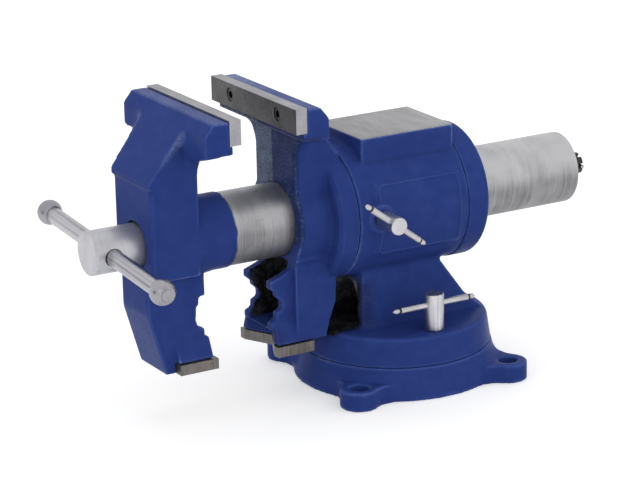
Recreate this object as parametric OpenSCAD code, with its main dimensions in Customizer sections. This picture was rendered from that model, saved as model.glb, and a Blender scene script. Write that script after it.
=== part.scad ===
// Multipurpose bench vise: a swivel base, a housing with an anvil, a head that turns
// about the slide axis, flat jaws above the slide tube and toothed pipe jaws below it.
// Millimetres. +Z is up, the slide axis runs along Y and the handle is towards -Y.
// The origin is the swivel axis at the bench.

/* [Placement] */
// Height of the slide axis above the bench
axis_h = 136; // [130:1:150]
// Distance of the fixed gripping face ahead of the swivel axis
grip_y = 118.9; // [116:0.1:130]
// Gap between the gripping faces at rest
jaw_gap = 44.4; // [10:0.1:100]
// Turn of the upper body on its base, in degrees, as the vise was left
rest_swivel = 4.25; // [-20:0.25:20]

/* [Jaw heads] */
// Width of the flat jaws
jaw_w = 127; // [115:1:150]
// Height of the jaw tops above the slide axis
jaw_rise = 98.5; // [96:0.5:110]
// Height of a jaw plate
plate_h = 18.6; // [16:0.1:22]
// Thickness of a jaw plate
plate_t = 9.15; // [7:0.05:12]
// Height that a plate stands above its casting
plate_proud = 1; // [0.5:0.1:2]
// Ledge under a plate, out from the seat behind it
ledge_out = 2.6; // [1:0.1:5]
// Height of the bar of the T-shaped head
bar_h = 24.2; // [20:0.1:30]
// Depth of the moving jaw's bar behind its plate seat
bar_d = 19.4; // [16:0.1:26]
// Depth of the fixed jaw's bar behind its plate seat
fixed_bar_d = 18; // [16:0.1:26]
// Slope on the outer top edge of the bar, along the depth
bar_slope_d = 6.8; // [3:0.1:9]
// Slope on the outer top edge of the bar, along the height
bar_slope_h = 8.4; // [4:0.1:12]
// Width of the sloping prow under the bar
prow_w = 63; // [60:1:74]
// Reach of the moving jaw's prow behind its plate seat
prow_reach = 48; // [44:0.1:54]
// Reach of the fixed jaw's prow behind its plate seat
fixed_prow_reach = 43; // [40:0.1:48]
// Fall of the prow below the casting's top
prow_fall = 45.2; // [40:0.1:50]
// Height of the prow's lower lip
prow_lip = 4.8; // [3:0.1:8]
// Radius of the sweep from the prow out to the jaw ends
prow_sweep_r = 30; // [24:1:32]
// Width of the columns
column_w = 59; // [56:1:62]
// Depth of the columns
column_d = 38.5; // [34:0.1:40]
// Distance of a column's inner face behind the plate seat
column_back = 8.15; // [6:0.05:12]
// Radius of the fillet between bar and column
neck_r = 14; // [8:1:18]
// Chamfer on the long edges of the castings
edge_c = 2; // [1:0.1:3.5]

/* [Pipe jaws] */
// Width over the toothed walls
arm_w = 42; // [36:1:46]
// Thickness of a toothed wall
wall_t = 7; // [5:0.5:9]
// Width of the fixed jaw's arm behind the toothed walls
arm_body_w = 54; // [50:1:58]
// Width of the floors above the pipe plates
floor_wide = 54; // [50:1:58]
// Depth of the teeth
tooth_d = 9.7; // [7:0.1:11]
// Height of the throat between the slide tube and the floor
throat_h = 50; // [46:0.5:52]
// Distance from the slide axis down to the top of the throat
throat_drop = 37; // [36:0.5:40]
// Thickness of the floor above a pipe plate
floor_t = 10; // [8:0.5:13]
// Width of a pipe plate
pipe_plate_w = 58; // [52:1:62]
// Depth of a pipe plate
pipe_plate_d = 31; // [28:0.5:34]
// Thickness of a pipe plate
pipe_plate_t = 8; // [6:0.5:10]
// Width of the flat tip on each side of a plate's notch
notch_tip = 6.5; // [4:0.5:9]
// Depth of the notch in a pipe plate
notch_d = 11; // [8:0.5:14]
// Drop of the fixed jaw's floor below the moving jaw's floor
floor_drop = 2; // [0:0.1:3]
// Distance of the moving pipe plate behind the moving gripping face
moving_plate_back = 5.2; // [4:0.1:7]

/* [Slide tube and spindle] */
// Outer diameter of the slide tube
tube_d = 55; // [50:0.5:56]
// Bore of the slide tube
tube_bore = 38; // [36:0.5:42]
// Distance of the tube's rear end behind the swivel axis
tube_rear = 151.6; // [140:0.2:170]
// Width of the slot along the tube's underside
slot_w = 14; // [12:0.5:16]
// Diameter of the spindle's hub
hub_d = 32.7; // [30:0.1:34]
// Length of the hub
hub_l = 44.5; // [42:0.1:50]
// Distance that the hub stands out of the moving jaw
hub_out = 37.2; // [34:0.1:42]
// Diameter of the spindle's plain shank
shank_d = 22; // [20:0.5:24]
// Outer diameter of the spindle's thread
spindle_d = 20; // [18:0.5:20]
// Diameter of the handle bar
handle_d = 12.5; // [11:0.1:13.2]
// Distance between the centres of the handle's ends
handle_l = 181; // [150:1:220]
// Diameter of the handle's ends
handle_end_d = 18.8; // [17:0.1:22]
// Slope of the handle at rest, in degrees
handle_tilt = 4.15; // [0:0.05:20]

/* [Housing] */
// Outer diameter of the housing drum
drum_d = 102; // [98:1:106]
// Distance of the drum's front face ahead of the swivel axis
drum_front = 59; // [58:0.5:64]
// Distance of the drum's rear face behind the swivel axis
drum_rear = 35.4; // [34:0.1:44]
// Diameter of the head's barrel inside the drum
barrel_d = 76; // [72:1:80]
// Width of the anvil
anvil_w = 64.2; // [56:0.2:70]
// Height of the anvil's face above the slide axis
anvil_rise = 59.6; // [56:0.2:64]
// Distance of the anvil's front edge ahead of the swivel axis
anvil_front = 46.7; // [40:0.1:54]
// Distance of the anvil's rear edge behind the swivel axis
anvil_rear = 33.4; // [26:0.1:34]
// Thickness of the raised panel on the drum
panel_t = 1.3; // [0.6:0.1:2.5]
// Width of the pedestal
pedestal_w = 56; // [50:1:60]
// Thickness of the pedestal's walls
pedestal_wall = 8; // [6:0.5:10]

/* [Head flanges] */
// Diameter of the head's front flange
flange_d = 101; // [98:1:106]
// Thickness of the head's front flange
flange_t = 16.7; // [13:0.1:20]
// Diameter of the rear flange
ring_d = 103; // [98:1:106]
// Thickness of the rear flange
ring_t = 18.6; // [13:0.1:20]

/* [Swivel and base] */
// Diameter of the swivel disc at its lower edge
disc_d = 146.2; // [142:0.2:152]
// Height of the seam between the base and the swivel disc
seam_h = 24.2; // [22:0.1:27]
// Thickness of the swivel disc
disc_t = 22.3; // [18:0.1:25]
// Thickness of the swivel disc's floor
disc_floor = 12; // [9:0.5:15]
// Diameter of the base at the bench
base_d = 157; // [154:1:162]
// Diameter of the circle through the bench bolt holes
bolt_circle_d = 178.7; // [174:0.1:186]
// Diameter of a bench bolt hole
bolt_hole_d = 14.4; // [12:0.2:16]
// Radius of a bolt ear's round end
ear_r = 14.6; // [14:0.1:18]
// Thickness of a bolt ear
ear_t = 14.6; // [12:0.1:18]

/* [Locks] */
// Distance of the base lock screws from the swivel axis
base_lock_r = 56; // [54:0.5:58]
// Diameter of a base lock screw's head
base_lock_d = 14.8; // [12:0.2:16]
// Height of a base lock screw's head
base_lock_h = 28.5; // [24:0.5:34]
// Diameter of the head lock screw's head
head_lock_d = 13.4; // [11:0.2:14]
// Length of the head lock screw's head
head_lock_h = 22; // [18:0.5:28]
// Distance of the head lock ahead of the swivel axis
head_lock_y = 42.5; // [34:0.5:46]
// Height of the head lock above the slide axis
head_lock_rise = 3; // [0:0.5:6]
// Diameter of the lock screws' threads
lock_thread_d = 10; // [8:0.5:10]
// Diameter of a lock bar
lock_bar_d = 5; // [4:0.25:6]
// Length of a base lock's bar
base_bar_l = 72; // [60:1:90]
// Length of the head lock's bar
head_bar_l = 63; // [50:1:70]
// Slope of the head lock's bar at rest, in degrees
head_bar_tilt = 36.8; // [0:0.2:60]

/* [Fits] */
// Radial clearance of a running fit
run_gap = 0.05; // [0.02:0.01:0.1]
// Clearance between parts that pass or face each other
part_gap = 0.3; // [0.2:0.05:0.5]
// Travel of a lock from rest until it bites
lock_gap = 0.2; // [0.1:0.05:0.5]

/* [Hidden] */
$fn = 72;
paint = "#2b3f86";
steel = "#c9cacd";
bright = "#dcdde0";
iron = "#6e6a66";
brass = "#b08d57";

// Overrun of cuts
cut = 1;

// Jaw heads, in jaw coordinates: X across, Y back from the gripping face, Z up from the
// slide axis
seat_v = plate_t;
top_w = jaw_rise - plate_proud;
plate_foot_w = jaw_rise - plate_h;
bar_foot_w = top_w - bar_h;
column_v = seat_v + column_back;
column_back_v = column_v + column_d;
prow_foot_w = top_w - prow_fall;
neck_w = bar_foot_w - neck_r / 2;
sweep_w = bar_foot_w - prow_lip;
throat_w = -throat_drop;
floor_w = throat_w - throat_h;
plate_top_w = floor_w - part_gap;
pipe_plate_foot_w = plate_top_w - pipe_plate_t;
plate_screw_x = jaw_w * 0.275;
plate_screw_w = jaw_rise - plate_h * 0.48;
plate_screw_d = 6;
plate_head_d = 10;
plate_head_h = 5;
plate_sink_d = 10.6;
plate_screw_l = 20;
fixed_floor_w = floor_w - floor_drop;
pipe_screw_x = pipe_plate_w * 0.31;
pipe_screw_back = 9.5;
pipe_screw_d = 6;
pipe_head_d = 11;
pipe_screw_l = 14;

// Tooth outlines down the throat: share of the tooth depth, then share of the throat
fixed_tooth_shares = [
    [1.75, -0.06], [1.2, 0], [0.03, 0.08], [0, 0.18], [0.53, 0.27], [0.53, 0.32],
    [1, 0.41], [1, 0.52], [0.53, 0.57], [0.48, 0.68], [0, 0.72], [0, 0.8], [0.1, 0.9], [0.1, 1]
];
moving_tooth_shares = [
    [0, -0.28], [0, 0.07], [0.52, 0.08], [0.55, 0.2], [0.76, 0.23], [0.8, 0.43], [0.62, 0.53],
    [0.12, 0.57], [0.08, 0.67], [0.4, 0.735], [0.3, 0.8]
];
fixed_crest_v = -0.9;
moving_crest_v = 10.6;
lip_v = 8.2;
cavity_d = 26;
flare_h = 15;
floor_share = 0.7;
toe_v = moving_plate_back + pipe_plate_d;

// Fixed jaw
boss_d = barrel_d - cut;
arm_top_w = cut - tube_d / 2;
fixed_back_shares = [[0.94, 0], [0.92, 0.57], [0.82, 0.8], [0.76, 1]];
flange_front = drum_front + flange_t;
flange_round = 3;
barrel_rear = drum_rear - part_gap;

// Moving jaw
moving_y = grip_y + jaw_gap;
moving_face_y = moving_y + column_back_v;
arm_shares = [[1, -0.3], [1, 0.24], [0.77, 1.17]];
collar_d = tube_d + 1.6;
collar_root_d = tube_d + 7;
collar_root_l = 20;
collar_l = 31;
slot_front = grip_y - column_v;
hub_clear_d = hub_d + 3.2;
hub_sink = hub_l - hub_out;
washer_t = 2;

// Spindle
hub_front_y = moving_face_y + hub_out;
handle_y = hub_front_y - hub_d * 0.41;
handle_hole_d = handle_d + 2 * run_gap;
hub_edge_c = 1;
shank_l = column_d;
journal_d = 14;
end_thread_d = 12;
plug_t = 14;
end_washer_d = 20;
end_washer_t = 2.5;
end_nut_d = 19;
end_nut_h = 15.5;
castle_slot_w = 3.4;
castle_slot_h = 5;
cotter_d = 2.8;
cotter_l = 23;
spindle_end = tube_rear + end_washer_t + end_nut_h + cut;

// Spindle nut
nut_d = tube_bore - 4;
nut_l = 40;
nut_front = drum_front - 12;
nut_leg_l = 22;
nut_leg_r = barrel_d / 2 - 5;
nut_screw_d = 8;
nut_screw_head_d = 15;

// Rear flange
ring_round = 2.6;
ring_screw_n = 4;
// The screws stand in the wall between the tube's bore and the barrel's outside
ring_screw_share = 5 / 21;
ring_screw_d = (barrel_d - tube_d) * ring_screw_share;
ring_screw_head_share = 1.7;
ring_screw_head_d = ring_screw_d * ring_screw_head_share;
ring_screw_head_h = 5;
ring_screw_l = 28;
ring_screw_circle_d = (tube_d + barrel_d) / 2 + 1;

// Housing
drum_bore_d = barrel_d + 2 * run_gap;
panel_rear = drum_rear - 6;
panel_front = anvil_front - 3;
panel_angle = 32;
pedestal_front = 45;
pedestal_back_shares = [[0.38, 0.07], [0.73, 0.69], [1, 1]];
pedestal_back = 62;
pedestal_top_w = sqrt(pow(drum_d / 2, 2) - pow(pedestal_w / 2, 2));
arch_h = 38;
nut_room = 22;
disc_top = seam_h + disc_t;
disc_draft = 2.6;
disc_round = 3.5;
disc_rim = 9;

// Base
base_rim_h = 3;
base_top_d = disc_d + 1;
channel_d = 26;
channel_floor = 7.5;
slot_gap = lock_thread_d + 3;
pivot_boss_d = 46;
pivot_d = 16;
pivot_head_d = 24;
pivot_head_h = 10;
pivot_head_sink = 2;
pivot_washer_d = 34;
pivot_washer_t = 3;
pivot_nut_d = 27;
pivot_nut_h = 14;
ear_n = 4;
ear_fillet_r = 20;

// Locks
lock_edge_c = 0.8;
lock_groove_w = 1.4;
lock_nub_l = 5;
lock_neck_d = lock_bar_d - 1.2;
lock_hole_d = lock_bar_d + 2 * run_gap;
base_bar_h = disc_top + base_lock_h * 0.7;
base_lock_foot = 4;
t_nut_w = 18;
t_nut_l = 20;
t_nut_h = 9;
t_nut_foot = seam_h - channel_floor - lock_gap - t_nut_h;
shoe_d = lock_thread_d - 0.04;
shoe_l = 4;
shoe_x = barrel_d / 2 + part_gap;
head_lock_boss_d = 22;
head_lock_boss_x = drum_d / 2 + 2.5;
head_lock_head_x = head_lock_boss_x + part_gap + 1.75;
head_bar_x = head_lock_head_x + head_lock_h * 0.72;

// Helpers

// Outline in Y and Z, drawn out along X
module across(width) {
    rotate([90, 0, 90]) linear_extrude(width, center = true) children();
}

// Outline in X and Z, drawn out along Y from one depth to another
module deep(from_v, to_v) {
    translate([0, to_v, 0]) rotate([90, 0, 0]) linear_extrude(to_v - from_v) children();
}

// Round bar or bore along Y
module along_y(d, from_y, to_y) {
    translate([0, from_y, 0]) rotate([-90, 0, 0]) cylinder(d = d, h = to_y - from_y);
}

// Block with chamfered upright edges on its outer face
module post(width, from_v, to_v, from_w, to_w, c) {
    translate([0, 0, from_w]) linear_extrude(to_w - from_w) polygon([
        [-width / 2, from_v], [width / 2, from_v], [width / 2, to_v - c],
        [width / 2 - c, to_v], [-width / 2 + c, to_v], [-width / 2, to_v - c]
    ]);
}

// Place of the fixed jaw's coordinates
module at_fixed_jaw() {
    translate([0, -grip_y, axis_h]) children();
}

// Place of the moving jaw's coordinates, mirrored so that depths run towards the handle
module at_moving_jaw() {
    translate([0, -moving_y, axis_h]) mirror([0, 1, 0]) children();
}

// Points of a tooth outline, from the throat's top to its floor
function tooth_points(shares, crest_v) = [
    for (s = shares) [crest_v + s[0] * tooth_d, throat_w - s[1] * throat_h]
];

// Jaw castings

// Bar of the T, with the seat for the plate and a sloping outer edge
module jaw_bar(back_v) {
    across(jaw_w) polygon([
        [seat_v - ledge_out, bar_foot_w], [seat_v - ledge_out, plate_foot_w],
        [seat_v, plate_foot_w], [seat_v, top_w],
        [back_v - bar_slope_d, top_w], [back_v, top_w - bar_slope_h],
        [back_v, bar_foot_w]
    ]);
}

// Underside of the bar, running down into the column with a fillet
module jaw_neck(back_v) {
    deep(column_v, back_v) difference() {
        polygon([
            [-jaw_w / 2, bar_foot_w], [jaw_w / 2, bar_foot_w],
            [column_w / 2 + neck_r, neck_w], [column_w / 2 + neck_r, neck_w - neck_r],
            [-column_w / 2 - neck_r, neck_w - neck_r], [-column_w / 2 - neck_r, neck_w]
        ]);
        for (side = [-1, 1])
            translate([side * (column_w / 2 + neck_r), neck_w - neck_r]) circle(neck_r);
    }
}

// Sloping prow behind the bar, swept out to the jaw ends at its top
module jaw_prow(back_v, reach) {
    prow_v = seat_v + reach;
    root_v = back_v - bar_slope_d;
    lip_w = prow_foot_w - prow_lip;
    intersection() {
        across(jaw_w) polygon([
            [root_v, top_w], [prow_v, prow_foot_w], [prow_v, lip_w],
            [column_back_v - edge_c, lip_w - prow_lip / 2], [root_v, lip_w - prow_lip / 2]
        ]);
        deep(root_v, prow_v) difference() {
            polygon([
                [-column_w / 2, lip_w - prow_lip], [column_w / 2, lip_w - prow_lip],
                [prow_w / 2, sweep_w], [jaw_w / 2, sweep_w], [jaw_w / 2, top_w],
                [-jaw_w / 2, top_w], [-jaw_w / 2, sweep_w], [-prow_w / 2, sweep_w]
            ]);
            for (side = [-1, 1])
                translate([side * (prow_w / 2 + prow_sweep_r), sweep_w]) circle(prow_sweep_r);
        }
    }
}

// Screw holes of the plate seat
module plate_screw_holes() {
    for (side = [-1, 1])
        translate([side * plate_screw_x, 0, plate_screw_w])
            along_y(plate_screw_d + 2 * run_gap, 0, plate_screw_l + part_gap);
}

// Screw holes under the floor
module pipe_screw_holes(front_v) {
    for (side = [-1, 1])
        translate([side * pipe_screw_x, front_v + pipe_plate_d - pipe_screw_back, pipe_plate_foot_w])
            cylinder(d = pipe_screw_d + 2 * run_gap, h = pipe_screw_l + part_gap);
}

// Notch outline of a pipe plate and of the floor above it
module notch_outline(front_v) {
    tip_x = pipe_plate_w / 2 - notch_tip;
    polygon([
        [-tip_x, front_v], [-tip_x, front_v - tooth_d], [tip_x, front_v - tooth_d],
        [tip_x, front_v], [0, front_v + notch_d]
    ]);
}

// Floor above a pipe plate, flaring out from the toothed walls
module arm_floor(from_v, to_v, foot_w) {
    top = foot_w + floor_t * floor_share;
    deep(from_v, to_v) polygon([
        [-floor_wide / 2, foot_w], [floor_wide / 2, foot_w],
        [floor_wide / 2, foot_w + edge_c], [arm_w / 2, floor_w + flare_h],
        [arm_w / 2 - wall_t, floor_w + flare_h], [arm_w / 2 - wall_t, top],
        [wall_t - arm_w / 2, top], [wall_t - arm_w / 2, floor_w + flare_h],
        [-arm_w / 2, floor_w + flare_h], [-floor_wide / 2, foot_w + edge_c]
    ]);
}

module fixed_jaw_casting() {
    back_v = seat_v + fixed_bar_d;
    jaw_bar(back_v);
    jaw_neck(back_v);
    jaw_prow(back_v, fixed_prow_reach);
    post(column_w, column_v, column_back_v, -tube_d / 2, prow_foot_w, edge_c);
    along_y(boss_d, column_v, grip_y - flange_front + flange_round);
    // Lower arm behind the toothed walls
    intersection() {
        post(arm_body_w, column_v, column_back_v, fixed_floor_w, arm_top_w, edge_c);
        across(arm_body_w + cut) polygon(concat(
            [[column_v, arm_top_w], [column_v, fixed_floor_w]],
            [for (i = [len(fixed_back_shares) - 1:-1:0])
                [column_back_v * fixed_back_shares[i][0],
                 arm_top_w + (fixed_floor_w - arm_top_w) * fixed_back_shares[i][1]]]
        ));
    }
    // Toothed walls
    across(arm_w) polygon(concat(
        tooth_points(fixed_tooth_shares, fixed_crest_v),
        [[column_v + edge_c, floor_w], [column_v + edge_c, throat_w + 0.06 * throat_h]]
    ));
    // Floor above the pipe plate
    arm_floor(lip_v - wall_t, column_v + 2 * edge_c, fixed_floor_w);
}

module moving_jaw_casting() {
    back_v = seat_v + bar_d;
    jaw_bar(back_v);
    jaw_neck(back_v);
    jaw_prow(back_v, prow_reach);
    post(column_w, column_v, column_back_v, throat_w * 0.6, prow_foot_w, edge_c);
    // Lower arm with its sloping front and its teeth
    intersection() {
        post(arm_w, 0, column_back_v + edge_c, pipe_plate_foot_w, 0, edge_c);
        across(arm_w + cut) polygon(concat(
            tooth_points(moving_tooth_shares, moving_crest_v),
            [[lip_v, floor_w + floor_t * floor_share], [lip_v, floor_w]],
            [[toe_v, floor_w], [toe_v, pipe_plate_foot_w]],
            [for (i = [len(arm_shares) - 1:-1:0])
                [(column_back_v + 1.2) * arm_shares[i][0], throat_w - arm_shares[i][1] * throat_h]]
        ));
    }
    arm_floor(lip_v, toe_v, floor_w);
}

module fixed_jaw() {
    color(paint) difference() {
        union() {
            at_fixed_jaw() fixed_jaw_casting();
            // Front flange and barrel
            translate([0, 0, axis_h]) {
                along_y(flange_d, -flange_front + flange_round, -drum_front - part_gap);
                translate([0, -flange_front + flange_round, 0]) rotate([90, 0, 0])
                    cylinder(d1 = flange_d, d2 = flange_d - 2 * flange_round, h = flange_round);
                along_y(barrel_d, -drum_front - flange_t / 2, barrel_rear);
            }
        }
        // Bore for the slide tube
        translate([0, 0, axis_h]) along_y(tube_d + 2 * run_gap, -grip_y, barrel_rear + cut);
        at_fixed_jaw() {
            plate_screw_holes();
            // Hollow between the toothed walls
            translate([-arm_w / 2 + wall_t, fixed_crest_v - cut, floor_w + floor_t])
                cube([arm_w - 2 * wall_t, cavity_d, throat_h - floor_t + throat_drop * 0.12]);
            translate([0, 0, fixed_floor_w - cut]) linear_extrude(floor_t + 2 * cut) notch_outline(0);
            translate([0, 0, -floor_drop]) pipe_screw_holes(0);
        }
        // Window and screw of the spindle nut
        nut_window();
        nut_screw_shape(run_gap);
        ring_screw_holes(drum_rear - ring_screw_l, ring_screw_d + 2 * run_gap);
    }
}

module moving_jaw() {
    color(paint) difference() {
        union() {
            at_moving_jaw() moving_jaw_casting();
            translate([0, 0, axis_h]) {
                along_y(tube_d, -moving_y - column_v - cut, tube_rear);
                // Collar at the root of the tube
                along_y(collar_d, -moving_y - column_v - cut, -moving_y - column_v + collar_l);
                translate([0, -moving_y - column_v - cut, 0]) rotate([-90, 0, 0])
                    cylinder(d1 = collar_root_d, d2 = collar_d, h = collar_root_l);
            }
        }
        translate([0, 0, axis_h]) {
            along_y(tube_bore, -moving_y - column_v, tube_rear + cut);
            along_y(shank_d + 2 * run_gap, -moving_face_y - cut, -moving_y);
            along_y(hub_clear_d, -moving_face_y - 2 * edge_c, -moving_face_y + hub_sink + washer_t);
            // Slot for the leg of the spindle nut
            translate([-slot_w / 2, -slot_front, -tube_d]) cube([slot_w, slot_front + tube_rear + cut, tube_d]);
        }
        at_moving_jaw() {
            plate_screw_holes();
            // Hollow between the toothed walls
            translate([-arm_w / 2 + wall_t, lip_v - cut, floor_w + floor_t * floor_share])
                cube([arm_w - 2 * wall_t, cavity_d, throat_h - floor_t * floor_share + throat_drop * 0.15]);
            translate([0, 0, floor_w - cut]) linear_extrude(floor_t + 2 * cut)
                notch_outline(moving_plate_back);
            pipe_screw_holes(moving_plate_back);
        }
    }
}

// Jaw plate with its counterbored screw holes
module jaw_plate() {
    difference() {
        translate([-jaw_w / 2, 0, plate_foot_w]) cube([jaw_w, plate_t, plate_h]);
        for (side = [-1, 1]) translate([side * plate_screw_x, 0, plate_screw_w]) {
            along_y(plate_screw_d + 2 * part_gap, -cut, plate_t + cut);
            along_y(plate_sink_d, -cut, plate_head_h + cut);
        }
    }
}

// Socket screws of a jaw plate
module plate_screws() {
    for (side = [-1, 1]) translate([side * plate_screw_x, 0, plate_screw_w]) difference() {
        union() {
            along_y(plate_head_d, cut, cut + plate_head_h);
            along_y(plate_screw_d, cut, plate_screw_l);
        }
        along_y(plate_screw_d * 0.9, 0, plate_head_h * 0.7);
    }
}

// Notched steel plate under a pipe jaw, with countersunk holes
module pipe_plate(front_v) {
    difference() {
        translate([-pipe_plate_w / 2, front_v, pipe_plate_foot_w])
            cube([pipe_plate_w, pipe_plate_d, pipe_plate_t]);
        translate([0, 0, pipe_plate_foot_w - cut]) linear_extrude(pipe_plate_t + 2 * cut)
            notch_outline(front_v);
        for (side = [-1, 1])
            translate([side * pipe_screw_x, front_v + pipe_plate_d - pipe_screw_back, pipe_plate_foot_w]) {
                translate([0, 0, -cut])
                    cylinder(d = pipe_screw_d + 2 * part_gap, h = pipe_plate_t + 2 * cut);
                translate([0, 0, -run_gap]) cylinder(
                    d1 = pipe_head_d + 2 * part_gap, d2 = pipe_screw_d,
                    h = (pipe_head_d - pipe_screw_d) / 2 + part_gap + run_gap);
            }
    }
}

// Countersunk screws of a pipe plate
module pipe_screws(front_v) {
    for (side = [-1, 1])
        translate([side * pipe_screw_x, front_v + pipe_plate_d - pipe_screw_back, pipe_plate_foot_w]) {
            cylinder(d1 = pipe_head_d, d2 = pipe_screw_d, h = (pipe_head_d - pipe_screw_d) / 2);
            cylinder(d = pipe_screw_d, h = pipe_screw_l);
        }
}

module fixed_jaw_plate() {
    color(steel) at_fixed_jaw() jaw_plate();
}

module fixed_plate_screws() {
    color(iron) at_fixed_jaw() plate_screws();
}

module fixed_pipe_plate() {
    color(iron) at_fixed_jaw() translate([0, 0, -floor_drop]) pipe_plate(0);
}

module fixed_pipe_screws() {
    color(iron) at_fixed_jaw() translate([0, 0, -floor_drop]) pipe_screws(0);
}

module moving_jaw_plate() {
    color(steel) at_moving_jaw() jaw_plate();
}

module moving_plate_screws() {
    color(iron) at_moving_jaw() plate_screws();
}

module moving_pipe_plate() {
    color(iron) at_moving_jaw() pipe_plate(moving_plate_back);
}

module moving_pipe_screws() {
    color(iron) at_moving_jaw() pipe_screws(moving_plate_back);
}

// Head

// Window in the barrel for the leg of the spindle nut
module nut_window() {
    translate([-slot_w / 2, -nut_front + (nut_l - nut_leg_l) / 2 - run_gap, axis_h - nut_leg_r - run_gap])
        cube([slot_w, nut_leg_l + 2 * run_gap, nut_leg_r]);
}

// Countersunk screw that holds the spindle nut, grown by a clearance
module nut_screw_shape(gap) {
    screw_y = -nut_front + nut_l / 2;
    head_h = (nut_screw_head_d - nut_screw_d) / 2;
    // The head's flat stays inside the barrel's curve
    sink = part_gap + barrel_d / 2 - sqrt(pow(barrel_d, 2) - pow(nut_screw_head_d, 2)) / 2;
    translate([0, screw_y, axis_h - barrel_d / 2 + sink]) {
        translate([0, 0, -2 * gap]) cylinder(
            d1 = nut_screw_head_d + 4 * gap, d2 = nut_screw_d + 2 * gap, h = head_h + 2 * gap);
        cylinder(d = nut_screw_d + 2 * gap, h = barrel_d / 2 - spindle_d / 2 - 3 + 2 * gap);
    }
    if (gap > 0) translate([0, screw_y, axis_h - barrel_d / 2 - cut])
        cylinder(d = nut_screw_head_d + 4 * gap, h = cut + sink);
}

module spindle_nut() {
    color(iron) difference() {
        translate([0, 0, axis_h]) {
            along_y(nut_d, -nut_front, -nut_front + nut_l);
            translate([-slot_w / 2 + part_gap, -nut_front + (nut_l - nut_leg_l) / 2, -nut_leg_r])
                cube([slot_w - 2 * part_gap, nut_leg_l, nut_leg_r - nut_d * 0.4]);
        }
        translate([0, 0, axis_h])
            along_y(spindle_d + 2 * run_gap, -nut_front - cut, -nut_front + nut_l + cut);
        nut_screw_shape(run_gap);
    }
}

module spindle_nut_screw() {
    color(iron) nut_screw_shape(0);
}

// Holes for the rear flange's screws, from a depth to the flange
module ring_screw_holes(from_y, d) {
    for (i = [0:ring_screw_n - 1]) rotate_y(45 + i * 360 / ring_screw_n)
        translate([ring_screw_circle_d / 2, 0, 0]) along_y(d, from_y, drum_rear + ring_t + cut);
}

// Turn about the slide axis
module rotate_y(angle) {
    translate([0, 0, axis_h]) rotate([0, angle, 0]) children();
}

module rear_flange() {
    ring_rear = drum_rear + part_gap + ring_t;
    color(paint) difference() {
        translate([0, 0, axis_h]) {
            along_y(ring_d, drum_rear + part_gap, ring_rear - ring_round);
            translate([0, ring_rear - ring_round, 0]) rotate([-90, 0, 0])
                cylinder(d1 = ring_d, d2 = ring_d - 2 * ring_round, h = ring_round);
            along_y(barrel_d - 2 * part_gap, barrel_rear, drum_rear + part_gap + cut);
        }
        translate([0, 0, axis_h]) along_y(tube_d + 2 * run_gap, barrel_rear - cut, ring_rear + cut);
        ring_screw_holes(barrel_rear - cut, ring_screw_d + 2 * run_gap);
        for (i = [0:ring_screw_n - 1]) rotate_y(45 + i * 360 / ring_screw_n)
            translate([ring_screw_circle_d / 2, 0, 0])
                along_y(ring_screw_head_d + 2 * part_gap, ring_rear - ring_screw_head_h - cut, ring_rear + cut);
    }
}

module rear_flange_screws() {
    ring_rear = drum_rear + part_gap + ring_t;
    color(iron) for (i = [0:ring_screw_n - 1]) rotate_y(45 + i * 360 / ring_screw_n)
        translate([ring_screw_circle_d / 2, 0, 0]) difference() {
            union() {
                along_y(ring_screw_head_d, ring_rear - ring_screw_head_h - cut, ring_rear - cut);
                along_y(ring_screw_d, drum_rear - ring_screw_l + cut, ring_rear - cut);
            }
            along_y(ring_screw_d * 0.8, ring_rear - ring_screw_head_h, ring_rear);
        }
}

// Spindle

module thrust_washer() {
    color(brass) translate([0, 0, axis_h]) difference() {
        along_y(hub_clear_d - 2 * part_gap, -moving_face_y + hub_sink, -moving_face_y + hub_sink + washer_t);
        along_y(shank_d + 2 * part_gap, -moving_face_y, -moving_y);
    }
}

module tube_end_plug() {
    color(iron) translate([0, 0, axis_h]) difference() {
        along_y(tube_bore - 2 * run_gap, tube_rear - plug_t, tube_rear);
        along_y(journal_d + 2 * run_gap, tube_rear - plug_t - cut, tube_rear + cut);
    }
}

module spindle() {
    hub_rear_y = hub_front_y - hub_l;
    color(bright) difference() {
        translate([0, 0, axis_h]) {
            along_y(hub_d, -hub_front_y + hub_edge_c, -hub_rear_y);
            translate([0, -hub_front_y + hub_edge_c, 0]) rotate([90, 0, 0])
                cylinder(d1 = hub_d, d2 = hub_d - 2 * hub_edge_c, h = hub_edge_c);
            along_y(shank_d, -hub_rear_y - cut, -hub_rear_y + shank_l);
            along_y(spindle_d, -hub_rear_y, tube_rear - plug_t - cut);
            along_y(journal_d, -hub_rear_y, tube_rear);
            along_y(end_thread_d, -hub_rear_y, spindle_end);
        }
        rotate_y(handle_tilt) translate([0, -handle_y, 0]) rotate([0, 90, 0])
            cylinder(d = handle_hole_d, h = 2 * hub_d, center = true);
        cotter(cotter_d + 2 * run_gap, 2 * cotter_l);
    }
}

module end_washer() {
    color(steel) translate([0, 0, axis_h]) difference() {
        along_y(end_washer_d, tube_rear + run_gap, tube_rear + end_washer_t);
        along_y(end_thread_d + 2 * run_gap, tube_rear - cut, tube_rear + end_washer_t + cut);
    }
}

// Slotted nut on the spindle's rear end
module end_nut() {
    nut_rear = tube_rear + end_washer_t + end_nut_h;
    color(iron) difference() {
        translate([0, 0, axis_h]) {
            translate([0, tube_rear + end_washer_t, 0]) rotate([-90, 0, 0])
                cylinder(d = end_nut_d * 1.1, h = end_nut_h - castle_slot_h, $fn = 6);
            along_y(end_nut_d * 0.9, nut_rear - castle_slot_h - cut, nut_rear);
        }
        translate([0, 0, axis_h])
            along_y(end_thread_d + 2 * run_gap, tube_rear, nut_rear + cut);
        for (i = [0:2]) rotate_y(i * 60)
            translate([-end_nut_d, nut_rear - castle_slot_h, -castle_slot_w / 2])
                cube([2 * end_nut_d, castle_slot_h + cut, castle_slot_w]);
    }
}

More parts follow.
